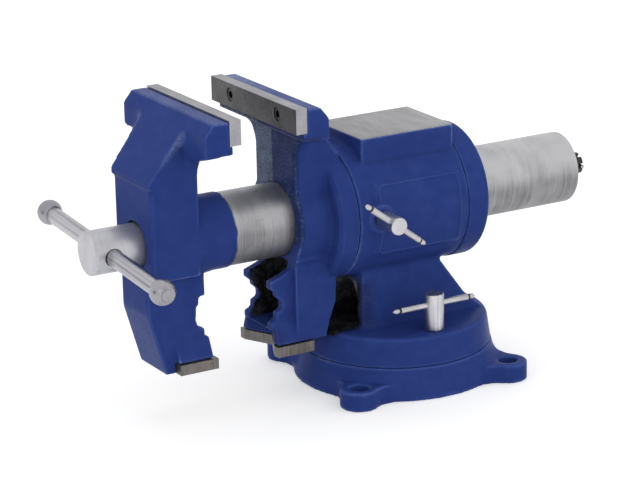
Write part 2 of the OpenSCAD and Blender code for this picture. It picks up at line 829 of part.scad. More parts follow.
// Cross pin through the end nut's slots
module cotter(d, l) {
    translate([0, tube_rear + end_washer_t + end_nut_h - castle_slot_h / 2, axis_h]) rotate([0, 90, 0])
        cylinder(d = d, h = l, center = true);
}

module cotter_pin() {
    color(steel) cotter(cotter_d, cotter_l);
}

module handle_bar() {
    color(bright) rotate_y(handle_tilt) translate([0, -handle_y, 0]) rotate([0, 90, 0])
        cylinder(d = handle_d, h = handle_l, center = true);
}

// Round ends of the handle, each with a flat and a shallow dimple
module handle_ends() {
    color(bright) rotate_y(handle_tilt) translate([0, -handle_y, 0]) for (side = [-1, 1])
        translate([side * handle_l / 2, 0, 0]) rotate([0, side * 90, 0]) difference() {
            sphere(d = handle_end_d);
            translate([0, 0, -handle_end_d]) cylinder(d = handle_d + 2 * run_gap, h = handle_end_d + run_gap);
            translate([0, 0, handle_end_d * 0.44]) cylinder(d = handle_end_d, h = handle_end_d);
        }
}

// Housing

// Swivel disc, hollow underneath, with two lock bosses and the pivot boss
module swivel_disc() {
    r = disc_d / 2;
    rotate_extrude() polygon([
        [0, disc_top], [r - disc_draft - disc_round, disc_top],
        [r - disc_draft - disc_round * 0.3, disc_top - disc_round * 0.3],
        [r - disc_draft, disc_top - disc_round], [r, seam_h],
        [r - disc_rim, seam_h], [r - disc_rim, disc_top - disc_floor], [0, disc_top - disc_floor]
    ]);
    translate([0, 0, seam_h]) cylinder(d = pivot_boss_d, h = disc_t - cut);
    for (side = [-1, 1]) translate([side * base_lock_r, 0, seam_h])
        cylinder(r = disc_d / 2 - base_lock_r - disc_rim / 2, h = disc_t - cut);
}

// Pedestal between the disc and the drum
module pedestal() {
    foot = disc_top - cut;
    top = axis_h - pedestal_top_w;
    across(pedestal_w) polygon(concat(
        [[-pedestal_front, foot], [-pedestal_front, axis_h]],
        [[pedestal_back * pedestal_back_shares[0][0], axis_h]],
        [for (s = pedestal_back_shares) [pedestal_back * s[0], top + (foot - top) * s[1]]]
    ));
}

// Raised panel that follows the drum
module drum_panel() {
    translate([0, 0, axis_h]) intersection() {
        along_y(drum_d + 2 * panel_t, -panel_front, panel_rear);
        rotate([90, 0, 0]) linear_extrude(2 * drum_d, center = true) polygon([
            [0, 0], [drum_d * cos(panel_angle), -drum_d * sin(panel_angle)],
            [drum_d * cos(panel_angle), drum_d * sin(panel_angle)]
        ]);
    }
}

module swivel_housing() {
    color(paint) difference() {
        union() {
            swivel_disc();
            pedestal();
            translate([0, 0, axis_h]) {
                along_y(drum_d, -drum_front, drum_rear);
                translate([-anvil_w / 2, -anvil_front, 0])
                    cube([anvil_w, anvil_front + anvil_rear, anvil_rise]);
            }
            drum_panel();
            mirror([1, 0, 0]) drum_panel();
            // Boss of the head lock
            translate([0, -head_lock_y, axis_h + head_lock_rise]) rotate([0, 90, 0])
                cylinder(d = head_lock_boss_d, h = head_lock_boss_x);
        }
        translate([0, 0, axis_h]) along_y(drum_bore_d, -drum_front - cut, drum_rear + cut);
        // Threaded hole of the head lock
        translate([0, -head_lock_y, axis_h + head_lock_rise]) rotate([0, 90, 0])
            cylinder(d = lock_thread_d + 2 * run_gap, h = drum_d);
        // Arched hollow in the pedestal, open to the front
        translate([0, 0, disc_top]) deep(-pedestal_front - cut, nut_room) {
            translate([-pedestal_w / 2 + pedestal_wall, 0])
                square([pedestal_w - 2 * pedestal_wall, arch_h - pedestal_w / 2 + pedestal_wall]);
            translate([0, arch_h - pedestal_w / 2 + pedestal_wall]) circle(pedestal_w / 2 - pedestal_wall);
        }
        // Bore of the pivot and clearance holes of the base locks
        translate([0, 0, seam_h - cut]) cylinder(d = pivot_d + 2 * run_gap, h = disc_t + 2 * cut);
        for (side = [-1, 1]) translate([side * base_lock_r, 0, seam_h - cut])
            cylinder(d = lock_thread_d + 2 * part_gap, h = disc_t + 2 * cut);
    }
}

// Base

// Bolt ear with concave sides running into the disc
module bolt_ear() {
    spread = ear_r + ear_fillet_r;
    root_r = base_d / 2 + ear_fillet_r;
    reach = bolt_circle_d / 2;
    angle = acos((reach * reach + root_r * root_r - spread * spread) / (2 * reach * root_r));
    difference() {
        union() {
            translate([reach, 0]) circle(ear_r);
            polygon([
                [0, 0], [root_r * cos(angle), -root_r * sin(angle)], [reach, 0],
                [root_r * cos(angle), root_r * sin(angle)]
            ]);
        }
        for (side = [-1, 1]) rotate(side * angle) translate([root_r, 0]) circle(ear_fillet_r);
    }
}

module base_plate() {
    color(paint) rotate([0, 0, -rest_swivel]) difference() {
        union() {
            linear_extrude(ear_t) for (i = [0:ear_n - 1])
                rotate(45 + i * 360 / ear_n) bolt_ear();
            rotate_extrude() polygon([
                [0, 0], [base_d / 2, 0], [base_d / 2, base_rim_h],
                [base_top_d / 2 + base_rim_h / 2, ear_t], [base_top_d / 2, seam_h], [0, seam_h]
            ]);
        }
        // Bench bolt holes
        for (i = [0:ear_n - 1]) rotate([0, 0, 45 + i * 360 / ear_n])
            translate([bolt_circle_d / 2, 0, -cut]) cylinder(d = bolt_hole_d, h = ear_t + 2 * cut);
        // Ring channel for the lock nuts, and the slot above it
        rotate_extrude() {
            translate([base_lock_r - channel_d / 2, -cut])
                square([channel_d, seam_h - channel_floor + cut]);
            translate([base_lock_r - slot_gap / 2, 0]) square([slot_gap, seam_h + cut]);
        }
        // Pivot hole with the seat for the bolt's head
        translate([0, 0, -cut]) cylinder(d = pivot_d + 2 * run_gap, h = seam_h + 2 * cut);
        translate([0, 0, -cut])
            cylinder(d = pivot_head_d * 1.2 + part_gap, h = pivot_head_sink + pivot_head_h + cut);
    }
}

module pivot_bolt() {
    color(iron) {
        translate([0, 0, pivot_head_sink]) cylinder(d = pivot_head_d * 1.15, h = pivot_head_h, $fn = 6);
        translate([0, 0, pivot_head_sink])
            cylinder(d = pivot_d, h = disc_top + pivot_washer_t + pivot_nut_h + cut);
    }
}

module pivot_washer() {
    color(steel) translate([0, 0, disc_top + run_gap]) difference() {
        cylinder(d = pivot_washer_d, h = pivot_washer_t);
        translate([0, 0, -cut]) cylinder(d = pivot_d + 2 * run_gap, h = pivot_washer_t + 2 * cut);
    }
}

module pivot_nut() {
    color(iron) translate([0, 0, disc_top + run_gap + pivot_washer_t]) difference() {
        cylinder(d = pivot_nut_d * 1.1, h = pivot_nut_h, $fn = 6);
        translate([0, 0, -cut]) cylinder(d = pivot_d + 2 * run_gap, h = pivot_nut_h + 2 * cut);
    }
}

// Locks

// Sliding bar with grooved, pointed ends, along X
module lock_bar(l) {
    half = [
        [0, 0], [0, l / 2], [lock_neck_d * 0.2, l / 2], [lock_neck_d / 2, l / 2 - lock_nub_l * 0.4],
        [lock_neck_d / 2, l / 2 - lock_nub_l], [lock_neck_d * 0.36, l / 2 - lock_nub_l],
        [lock_neck_d * 0.36, l / 2 - lock_nub_l - lock_groove_w],
        [lock_bar_d / 2, l / 2 - lock_nub_l - lock_groove_w], [lock_bar_d / 2, 0]
    ];
    rotate([0, 90, 0]) {
        rotate_extrude() polygon(half);
        mirror([0, 0, 1]) rotate_extrude() polygon(half);
    }
}

// Head of a lock screw, standing on its foot, with a cross hole
module lock_head(d, h, hole_h) {
    difference() {
        rotate_extrude() polygon([
            [0, 0], [d / 2, 0], [d / 2, h - lock_edge_c], [d / 2 - lock_edge_c, h], [0, h]
        ]);
        translate([0, 0, hole_h]) rotate([0, 90, 0]) cylinder(d = lock_hole_d, h = 2 * d, center = true);
    }
}

module base_lock_screw(side) {
    color(bright) translate([side * base_lock_r, 0, 0]) {
        translate([0, 0, disc_top + run_gap]) rotate([0, 0, 90])
            lock_head(base_lock_d, base_lock_h, base_bar_h - disc_top - run_gap);
        translate([0, 0, base_lock_foot]) cylinder(d = lock_thread_d, h = disc_top - base_lock_foot + cut);
    }
}

module base_lock_bar(side) {
    color(bright) translate([side * base_lock_r, 0, base_bar_h]) rotate([0, 0, 90]) lock_bar(base_bar_l);
}

module base_lock_nut(side) {
    color(iron) translate([side * base_lock_r, 0, t_nut_foot]) difference() {
        translate([-t_nut_l / 2, -t_nut_w / 2, 0]) cube([t_nut_l, t_nut_w, t_nut_h]);
        translate([0, 0, -cut]) cylinder(d = lock_thread_d + 2 * run_gap, h = t_nut_h + 2 * cut);
    }
}

module near_base_lock_screw() {
    base_lock_screw(1);
}

module near_base_lock_bar() {
    base_lock_bar(1);
}

module near_base_lock_nut() {
    base_lock_nut(1);
}

module far_base_lock_screw() {
    base_lock_screw(-1);
}

module far_base_lock_bar() {
    base_lock_bar(-1);
}

module far_base_lock_nut() {
    base_lock_nut(-1);
}

// Place of the head lock, with Z along the screw
module at_head_lock() {
    translate([0, -head_lock_y, axis_h + head_lock_rise]) rotate([0, 90, 0]) children();
}

module head_lock_screw() {
    color(bright) at_head_lock() {
        translate([0, 0, head_lock_head_x]) rotate([0, 0, 90 - head_bar_tilt])
            lock_head(head_lock_d, head_lock_h, head_bar_x - head_lock_head_x);
        translate([0, 0, shoe_x + shoe_l + run_gap])
            cylinder(d = lock_thread_d, h = head_lock_head_x - shoe_x - shoe_l + cut);
    }
}

module head_lock_bar() {
    color(bright) at_head_lock() translate([0, 0, head_bar_x]) rotate([0, 0, 90 - head_bar_tilt])
        lock_bar(head_bar_l);
}

module head_lock_shoe() {
    color(brass) at_head_lock() translate([0, 0, shoe_x]) cylinder(d = shoe_d, h = shoe_l);
}

base_plate();
pivot_bolt();
pivot_washer();
pivot_nut();
swivel_housing();
near_base_lock_screw();
near_base_lock_bar();
near_base_lock_nut();
far_base_lock_screw();
far_base_lock_bar();
far_base_lock_nut();
head_lock_screw();
head_lock_bar();
head_lock_shoe();
fixed_jaw();
fixed_jaw_plate();
fixed_plate_screws();
fixed_pipe_plate();
fixed_pipe_screws();
rear_flange();
rear_flange_screws();
spindle_nut();
spindle_nut_screw();
moving_jaw();
moving_jaw_plate();
moving_plate_screws();
moving_pipe_plate();
moving_pipe_screws();
thrust_washer();
tube_end_plug();
spindle();
end_washer();
end_nut();
cotter_pin();
handle_bar();
handle_ends();
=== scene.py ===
# %% [markdown]
# # Multipurpose bench vise
# The vise is three large iron castings around one steel tube, so most of its look is
# painted iron with soft edges. The solid model gives every size. This lesson gives its
# pieces the skin they have in the workshop: cast corners, ground and turned steel, paint
# rubbed at the edges.

import math

import bmesh
import bpy
import numpy as np
from mathutils import Matrix, Vector


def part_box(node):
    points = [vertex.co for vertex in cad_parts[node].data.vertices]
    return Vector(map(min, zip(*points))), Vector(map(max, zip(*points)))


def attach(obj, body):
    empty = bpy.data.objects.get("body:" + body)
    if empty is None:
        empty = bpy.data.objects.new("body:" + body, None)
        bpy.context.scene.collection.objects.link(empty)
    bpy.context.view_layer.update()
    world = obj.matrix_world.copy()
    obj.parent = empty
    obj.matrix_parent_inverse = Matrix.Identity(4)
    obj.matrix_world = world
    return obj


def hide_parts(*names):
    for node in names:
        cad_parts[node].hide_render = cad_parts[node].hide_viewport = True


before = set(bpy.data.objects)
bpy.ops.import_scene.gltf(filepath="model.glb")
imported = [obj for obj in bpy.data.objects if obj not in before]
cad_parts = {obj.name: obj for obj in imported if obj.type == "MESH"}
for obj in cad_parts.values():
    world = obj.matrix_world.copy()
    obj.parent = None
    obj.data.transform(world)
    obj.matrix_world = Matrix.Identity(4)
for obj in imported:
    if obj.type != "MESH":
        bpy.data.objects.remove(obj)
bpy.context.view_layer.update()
MM = 0.001

# %% [markdown]
# ## Sizes
# Shapes are worked out in millimetres and stored in metres. A few places are read off the
# solid model's own boxes, so that the skin follows it when a size is changed. The rest are
# the widths of finishes, which the solid model doesn't have.


# %% Sizes
def box_mm(node):
    """Lowest and highest corner of a solid, in mm."""
    return [np.array(corner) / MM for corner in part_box(node)]


housing_low, housing_high = box_mm("swivel_housing")
flange_low, flange_high = box_mm("rear_flange")
AXIS_Z = (flange_low[2] + flange_high[2]) / 2
TUBE_R = 27.5
ANVIL_TOP = housing_high[2]
SEAM_Z, SEAM_GAP = housing_low[2], 0.04
SKIN, FINE_SKIN = 1.25, 1.02  # side of one square of the net that covers a casting
print("slide axis at", round(AXIS_Z, 2), "mm, anvil top at", round(ANVIL_TOP, 2), "mm")

# %% [markdown]
# ## Shader arithmetic
# A finish is easier to read as a formula than as a list of nodes. This class wraps a
# socket, so that plus, minus and times add the nodes by themselves.


# %% Shader arithmetic
class Value:
    """A socket of a material. Arithmetic on it adds Math nodes."""

    def __init__(self, recipe, socket):
        self.recipe, self.socket = recipe, socket

    def math(self, operation, *terms, clamp=False):
        settings = {"operation": operation, "use_clamp": clamp}
        node = self.recipe.node("ShaderNodeMath", settings, dict(enumerate(terms)))
        return Value(self.recipe, node.outputs[0])

    def __add__(self, other):
        return self.math("ADD", self, other)

    def __sub__(self, other):
        return self.math("SUBTRACT", self, other)

    def __rsub__(self, other):
        return self.math("SUBTRACT", other, self)

    def __mul__(self, other):
        return self.math("MULTIPLY", self, other)

    __radd__, __rmul__ = __add__, __mul__

    def clamp(self):
        return self.math("ADD", self, 0.0, clamp=True)

    def larger(self, other):
        return self.math("MAXIMUM", self, other)

    def ramp(self, low, high):
        """0 below low, 1 above high, and an even rise between them."""
        return self.math("MULTIPLY", self - low, 1 / (high - low), clamp=True)


# %% [markdown]
# A recipe is a material, or the sky, while it is written. Each method adds one node and
# hands back its output, so a finish reads from top to bottom like a paint shop's card.


# %% Recipe
def rgb(r, g, b):
    return (r, g, b, 1.0)


class Recipe:
    def __init__(self, owner):
        owner.use_nodes = True
        self.owner, self.tree = owner, owner.node_tree
        self.tree.nodes.clear()

    def node(self, kind, settings=None, sockets=None):
        made = self.tree.nodes.new(kind)
        for key, value in (settings or {}).items():
            setattr(made, key, value)
        for key, value in (sockets or {}).items():
            if isinstance(value, Value):
                self.tree.links.new(value.socket, made.inputs[key])
            else:
                made.inputs[key].default_value = value
        return made

    def value(self, kind, output, settings=None, sockets=None):
        return Value(self, self.node(kind, settings, sockets).outputs[output])

    def place(self):
        return self.value("ShaderNodeTexCoord", "Object")

    def attribute(self, name):
        return self.value("ShaderNodeAttribute", "Fac", {"attribute_name": name})

    def stretch(self, vector, factors):
        settings, sockets = {"operation": "MULTIPLY"}, {0: vector, 1: factors}
        return self.value("ShaderNodeVectorMath", "Vector", settings, sockets)

    def noise(self, vector, scale, detail=3.0, roughness=0.5):
        sockets = {"Vector": vector, "Scale": scale, "Detail": detail, "Roughness": roughness}
        return self.value("ShaderNodeTexNoise", "Fac", None, sockets)

    def mix(self, factor, a, b, kind="RGBA"):
        """a where factor is 0 and b where it is 1, for colours, numbers or normals."""
        output, first = {"FLOAT": (0, 2), "VECTOR": (1, 4), "RGBA": (2, 6)}[kind]
        sockets = {0: factor, first: a, first + 1: b}
        return self.value("ShaderNodeMix", output, {"data_type": kind}, sockets)

    def bump(self, height, distance, strength, under=None):
        """Relief of that height, laid over the relief under it."""
        sockets = {"Height": height, "Distance": distance, "Strength": strength}
        if under is not None:
            sockets["Normal"] = under
        return self.value("ShaderNodeBump", "Normal", None, sockets)

    def seen_straight(self):
        """1 where the camera sees this itself, or in metal or through glass."""
        rays = ("Is Camera Ray", "Is Glossy Ray", "Is Transmission Ray")
        camera, mirror, glass = (self.value("ShaderNodeLightPath", ray) for ray in rays)
        return camera.larger(mirror).larger(glass)

    def finish(self, sockets):
        shader = self.node("ShaderNodeBsdfPrincipled", None, sockets)
        surface = {"Surface": Value(self, shader.outputs[0])}
        self.node("ShaderNodeOutputMaterial", None, surface)
        return self.owner


def new_finish(name):
    return Recipe(bpy.data.materials.new(name))


print("shader helpers ready")

# %% [markdown]
# ## Paint over cast iron
# The enamel is a deep blue that pools a little darker in hollows and is rubbed lighter
# along the edges, where a painted sheen lightens it more and a few chips go through to the
# iron. The sand of the mould shows as a low swell under the gloss. Every point of a casting
# carries how convex and how hollow it is, and five marks: bare metal, inside of a hollow
# with its painted shade, coarse sand, painted light with rubs, and grime with painted shade.
# The finish reads all seven.

# %% Colours of the castings
DEEP_BLUE = rgb(0.0225, 0.0450, 0.2020)
# A paler blue for mottling, and for wear and painted sheen along the edges.
PALE_BLUE = rgb(0.0560, 0.1000, 0.3300)
FLECK_BLUE = rgb(0.130, 0.180, 0.400)
# A pale grey blue for painted reflections and light on the jaws, with a little wear.
RUBBED_SHEEN_BLUE = rgb(0.230, 0.280, 0.440)
POOLED_BLUE = rgb(0.0050, 0.0130, 0.0600)
DUSTY_BLUE, SOOTY_BLUE = rgb(0.190, 0.230, 0.310), rgb(0.012, 0.017, 0.045)
IRON = rgb(0.20, 0.21, 0.24)
# The darker machined grey stands for grime, and on the slide tube for painted shade.
MACHINED, GRIMY_SHADED = rgb(0.52, 0.52, 0.54), rgb(0.13, 0.13, 0.135)
TOOL_LINE, PIT = rgb(0.60, 0.60, 0.61), rgb(0.06, 0.055, 0.05)
# Near black for soot and for the painted shade deep in a hollow.
SOOT_AND_SHADE = rgb(0.006, 0.006, 0.008)
CORE_SAND, GREY_SAND = rgb(0.060, 0.062, 0.070), rgb(0.300, 0.310, 0.330)
# The inside and grime marks also carry painted shade, and the rubs mark painted light.
MARKS = ("bare", "inside", "coarse", "rubs", "grime")
print("marks that the paint reads:", MARKS)


# %% Layers of the paint
def enamel_color(r, swell, sand, patch, edge, hollow, coarse, rubs):
    """Blue, worn at the edges and lit there with a painted sheen, dusty where the sand
    was coarse, dark in the hollows.
    """
    mottle = (swell * 0.8 + patch * 0.4).ramp(0.50, 0.95) * 0.24
    # Edge wear, lightened further as a painted sheen, with paler flecks as painted glints.
    worn_and_sheen = (edge * (0.55 + patch)).ramp(0.25, 1.05) * (0.35 + sand * 0.6)
    glint_flecks = (edge.ramp(0.3, 0.9) * (sand * 0.8 + swell * 0.4 + patch * 1.2)).ramp(1.24, 1.46)
    speck = (sand * 1.1 + patch * 0.5).ramp(0.66, 0.98)
    dusty = (sand * 1.1 + swell * 0.5 + coarse * 0.5 - 0.5).ramp(0.50, 0.95)
    blue = r.mix(mottle, DEEP_BLUE, PALE_BLUE)
    blue = r.mix(worn_and_sheen, blue, PALE_BLUE)
    blue = r.mix(glint_flecks, blue, FLECK_BLUE)
    # Painted reflection and light, with a little wear, where that mark asks for it.
    blue = r.mix(rubs * (0.2 + speck * 0.8), blue, RUBBED_SHEEN_BLUE)
    blue = r.mix(coarse.ramp(0.0, 0.6) * 0.8, blue, r.mix(dusty, SOOTY_BLUE, DUSTY_BLUE))
    return r.mix(hollow * 0.8, blue, POOLED_BLUE)


def core_color(r, swell, sand, rubs):
    """The unpainted inside of a casting: near black for its soot and its painted shade, with
    the grey of burnt sand.
    """
    core = r.mix((sand * 0.7 + swell * 0.5).ramp(0.55, 0.85), SOOT_AND_SHADE, CORE_SAND)
    # Where light reaches the hollow, its paler grey is painted in.
    return r.mix(rubs * (sand * 0.9 + swell * 0.6).ramp(0.45, 0.95), core, GREY_SAND)


def cut_color(r, place, grain, stain, grime):
    """A face machined after painting, with stains, grime, painted shade, tool lines and a few
    pits.
    """
    metal = r.mix((grime + stain).clamp(), MACHINED, GRIMY_SHADED)
    metal = r.mix(grain.ramp(0.3, 0.7) * 0.45, metal, TOOL_LINE)
    return r.mix(r.noise(place, 340.0, 2.0).ramp(0.74, 0.78) * 0.8, metal, PIT)


# %% Paint
def painted_iron(name, lines, smudges, cloud):
    """Enamel over iron, and the metal that shows through it.

    lines and smudges stretch the grain and the stains of its machined faces, and cloud is
    how strong those stains are.
    """
    r = new_finish(name)
    place = r.place()
    edge, hollow = r.attribute("edge"), r.attribute("hollow")
    bare, inside, coarse, rubs, grime = (r.attribute(mark) for mark in MARKS)
    swell = r.noise(place, 95.0)
    sand = r.noise(place, 620.0, 4.0, 0.6)
    patch = r.noise(place, 38.0, 4.0)
    grain = r.noise(r.stretch(place, lines), 1.0, 5.0, 0.65)
    stain = (r.noise(r.stretch(place, smudges), 1.0) - 0.5) * cloud

    flaked = ((edge + sand * 0.9) * (patch + 0.5)).ramp(1.72, 1.80)
    chip = flaked + (coarse * sand).ramp(0.56, 0.66) * 0.5
    metal = chip.larger(bare)
    color = enamel_color(r, swell, sand, patch, edge, hollow, coarse, rubs)
    color = r.mix(chip.clamp(), color, IRON)
    # The inside of a hollow, painted near black as its shade.
    color = r.mix(inside, color, core_color(r, swell, sand, rubs))
    color = r.mix(bare, color, cut_color(r, place, grain, stain, grime))

    polished = (edge * (0.55 + patch)).ramp(0.25, 1.05) * 0.04
    gloss = 0.28 + swell * 0.10 - polished + inside * 0.5
    rough = r.mix(metal, gloss, 0.36 + grain * 0.24, "FLOAT")
    skin = r.bump(swell, 0.45 * MM, 0.5)
    skin = r.bump(sand * (1.0 + coarse * 5.0 + inside * 4.0), 0.10 * MM, 0.4, skin)
    skin = r.bump(1.0 - metal, 0.12 * MM, 0.5, skin)
    cut = r.bump(grain, 0.03 * MM, 0.5)
    return r.finish(
        {
            "Base Color": color,
            "Roughness": rough,
            "Metallic": metal * 0.95,
            "Normal": r.mix(bare, skin, cut, "VECTOR"),
            "Specular IOR Level": 0.025,
        }
    )


paint = painted_iron("paint", (70.0, 1300.0, 700.0), (30.0, 110.0, 60.0), 0.6)
paint_slide = painted_iron("paint_slide", (16.0, 1500.0, 16.0), (50.0, 75.0, 50.0), 0.9)
print("paint ready")

# %% [markdown]
# ## Steel and iron
# Turned steel keeps the fine rings of the lathe, ground steel the straight scratches of
# the wheel. Both are the same recipe with the noise stretched a different way, so one
# function makes every bare finish.


# %% Bare metals
def bare_metal(
    name, color, dark, stretch, rough, relief=0.0, pits=0.0, glint=1.25, streaks=0.45,
    turn=(0.0, 0.0, 0.0), metal=1.0,
):
    """Metal with a stretched grain, darker smears and a few pits.

    relief is the depth of the grain in mm, and turn faces it another way. glint and
    streaks are how bright and how strong its lines are. metal below 1 leaves a dull film
    that scatters some light.
    """
    r = new_finish(name)
    place = r.place()
    sockets = {"Vector": place, "Rotation": turn}
    turned = r.value("ShaderNodeMapping", "Vector", None, sockets)
    grain = r.noise(r.stretch(turned, stretch), 1.0, 5.0, 0.7)
    smear = r.noise(place, 55.0, 4.0, 0.6)
    groove = r.attribute("groove")
    bright = rgb(*(min(1.0, part * glint) for part in color))
    tone = r.mix(smear.ramp(0.32, 0.72), rgb(*color), rgb(*dark))
    tone = r.mix(grain.ramp(0.35, 0.70) * streaks, tone, bright)
    roughness = rough + grain * 0.14 + smear * 0.12 + groove * 0.3
    metallic = metal
    if pits:
        wider = pits * 0.1
        spot = r.noise(place, 420.0, 3.0, 0.6).ramp(0.70 - wider, 0.76 - wider) * pits
        tone = r.mix(spot, tone, rgb(0.10, 0.09, 0.085))
        roughness = roughness + spot * 0.3
        metallic = metal - spot * 0.6
    tone = r.mix(groove * 0.85, tone, rgb(0.035, 0.033, 0.032))
    sockets = {"Base Color": tone, "Roughness": roughness, "Metallic": metallic}
    if relief:
        sockets["Normal"] = r.bump(grain, relief * MM, 0.6)
    return r.finish(sockets)


# %% [markdown]
# The finishes themselves. Each line of numbers is the stretch of the grain along X, Y and
# Z: a large one crowds the lines together, and a small one draws them out.

# %% Finishes
ALONG_X, AROUND_Y, EVEN = (90.0, 2600.0, 900.0), (60.0, 2300.0, 60.0), (800.0, 800.0, 800.0)
TURNED, TURNED_DARK = (0.52, 0.52, 0.55), (0.38, 0.38, 0.40)
HANDLE_TILT = math.radians(4.15)  # the handle hangs askew, and its streaks follow it

bright_y = bare_metal(
    "bright_steel", TURNED, TURNED_DARK, AROUND_Y, 0.26, relief=0.015, metal=0.78
)
bright_lock = bare_metal(
    "bright_steel_lock", TURNED, TURNED_DARK, (400.0, 60.0, 60.0), 0.22, relief=0.004
)
# The bar's long bright and dark stripes are painted reflections, drawn as its grain.
bright_x = bare_metal(
    "bright_steel_bar", (0.27, 0.27, 0.29), (0.20, 0.20, 0.22), (3.0, 300.0, 300.0),
    0.14, glint=2.4, streaks=0.9, turn=(0.0, -HANDLE_TILT, 0.0),
)
bright_ball = bare_metal(
    "bright_steel_ball", (0.36, 0.36, 0.385), (0.25, 0.25, 0.27),
    (150.0, 150.0, 150.0), 0.20,
)
# The post's upright bright and dark stripes are painted reflections, drawn as its grain.
bright_z = bare_metal(
    "bright_steel_post", (0.34, 0.34, 0.36), (0.24, 0.24, 0.26), (360.0, 360.0, 9.0),
    0.26, glint=2.3, streaks=0.9,
)
ground = bare_metal(
    "ground_steel", (0.34, 0.34, 0.365), (0.22, 0.22, 0.235), ALONG_X,
    0.28, relief=0.03, pits=0.4,
)
plate_face = bare_metal(
    "ground_steel_worn", (0.105, 0.105, 0.108), (0.038, 0.038, 0.040), EVEN,
    0.42, relief=0.06, glint=2.4,
)
dark = bare_metal(
    "dark_steel", (0.075, 0.073, 0.072), (0.030, 0.030, 0.030),
    (500.0, 500.0, 500.0), 0.32, relief=0.05,
)
raw = bare_metal(
    "raw_iron", (0.155, 0.146, 0.138), (0.085, 0.078, 0.074), (800.0, 800.0, 25.0),
    0.36, relief=0.02, pits=0.8, glint=1.9, streaks=0.6,
)
bronze = bare_metal(
    "bronze", (0.60, 0.42, 0.20), (0.42, 0.28, 0.13), AROUND_Y, 0.22, relief=0.03
)
print("ten bare finishes ready")

# %% [markdown]
# ## Mesh helpers
# Meshes are read into arrays, worked on in millimetres and written back. Whatever changes
# a mesh's faces goes through one helper that opens it, changes it and closes it again.


# %% Open and close a mesh
def edited(name, source, change):
    """A new mesh: the source mesh after change(work) has been done to it."""
    work = bmesh.new()
    work.from_mesh(source)
    change(work)
    mesh = bpy.data.meshes.new(name)
    work.to_mesh(mesh)
    work.free()
    return mesh


def joined_copy(node):
    """A copy of a solid's mesh with its loose triangles joined at their corners."""

    def join(work):
        bmesh.ops.remove_doubles(work, verts=work.verts, dist=0.002 * MM)

    return edited(node + "_copy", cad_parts[node].data, join)


def half(mesh, y, beyond):
    """The part of a mesh beyond the plane at y, or before it."""

    def cut(work):
        everything = work.verts[:] + work.edges[:] + work.faces[:]
        bmesh.ops.bisect_plane(
            work, geom=everything, plane_co=(0, y * MM, 0), plane_no=(0, 1, 0),
            clear_inner=beyond, clear_outer=not beyond,
        )

    return edited("half", mesh, cut)


def flattened(mesh):
    """Joins the triangles of each flat face, so that a bevel and its shading run clean."""

    def flatten(work):
        bmesh.ops.dissolve_limit(
            work, angle_limit=math.radians(0.5), verts=work.verts, edges=work.edges,
            delimit={"NORMAL"},
        )

    return edited(mesh.name, mesh, flatten)


def surface(name, points, faces):
    """A mesh from points in mm and faces, turned so that every face points outwards."""
    mesh = bpy.data.meshes.new(name)
    mesh.from_pydata((points * MM).tolist(), [], faces)

    def face_outwards(work):
        bmesh.ops.recalc_face_normals(work, faces=work.faces)

    return edited(name, mesh, face_outwards)


def joined(*meshes):
    """Several closed meshes in one piece."""
    work = bmesh.new()
    for mesh in meshes:
        work.from_mesh(mesh)
    whole = bpy.data.meshes.new("joined")
    work.to_mesh(whole)
    work.free()
    return whole


def with_modifier(mesh, kind, **settings):
    """The mesh as that modifier leaves it."""
    carrier = bpy.data.objects.new("carrier", mesh)
    bpy.context.scene.collection.objects.link(carrier)
    modifier = carrier.modifiers.new("step", kind)
    for key, value in settings.items():
        setattr(modifier, key, value)
    graph = bpy.context.evaluated_depsgraph_get()
    result = bpy.data.meshes.new_from_object(carrier.evaluated_get(graph))
    bpy.data.objects.remove(carrier)
    return result


def smooth(mesh, angle=30):
    mesh.shade_smooth()
    mesh.set_sharp_from_angle(angle=math.radians(angle))
    return mesh


def placed(name, mesh, material, body, slot, *nodes, second=None):
    """Puts a finished mesh in the scene as a piece of that body, in place of its solids."""
    mesh.materials.clear()
    mesh.materials.append(material)
    if second:
        mesh.materials.append(second)
    piece = bpy.data.objects.new(name, mesh)
    bpy.context.scene.collection.objects.link(piece)
    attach(piece, body)
    if nodes:
        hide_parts(*nodes)


print("mesh helpers ready")


# %% Meshes as arrays
def rows_of(parts, name, width, kind=float):
    """One row of numbers for each part of a mesh."""
    flat = np.empty(len(parts) * width, kind)
    parts.foreach_get(name, flat)
    return flat.reshape(-1, width)


def points_of(mesh):
    return rows_of(mesh.vertices, "co", 3) / MM


def set_points(mesh, points):
    mesh.vertices.foreach_set("co", (points * MM).ravel())
    mesh.update()


def edges_of(mesh):
    return rows_of(mesh.edges, "vertices", 2, int)


def write_attribute(mesh, name, values):
    layer = mesh.attributes.new(name, "FLOAT", "POINT")
    layer.data.foreach_set("value", np.asarray(values, np.float32))


def rise(values, zero, full):
    """0 up to zero, then an even rise to 1 at full."""
    return np.clip((values - zero) / (full - zero), 0, 1)


def fall(values, full, zero):
    """1 up to full, then an even fall to 0 at zero."""
    return np.clip((zero - values) / (zero - full), 0, 1)


def most(*shares):
    """The largest of several shares at each point."""
    return np.maximum.reduce([share * 1.0 for share in shares])


def off_axis(x, z):
    """Distance from the slide axis."""
    return np.hypot(x, z - AXIS_Z)


print("array helpers ready")

# %% [markdown]
# ## From sharp solid to casting
# Sand can't hold a sharp corner, so each casting is re-skinned with an even net and then
# relaxed: every point moves towards the middle of its neighbours. A few passes round the
# outer corners. More passes, only where the surface is hollow, grow the wide fillets that
# a pattern maker runs along inside corners. Machined faces are held, so they stay flat.


# %% Relaxing
# Bend in mm, where a share begins and where it is full
FILLET_BEND, SHARP_BEND = (0.05, 0.25), (0.05, 0.20)
EDGE_BEND, HOLLOW_BEND = (0.06, 0.42), (0.05, 0.50)


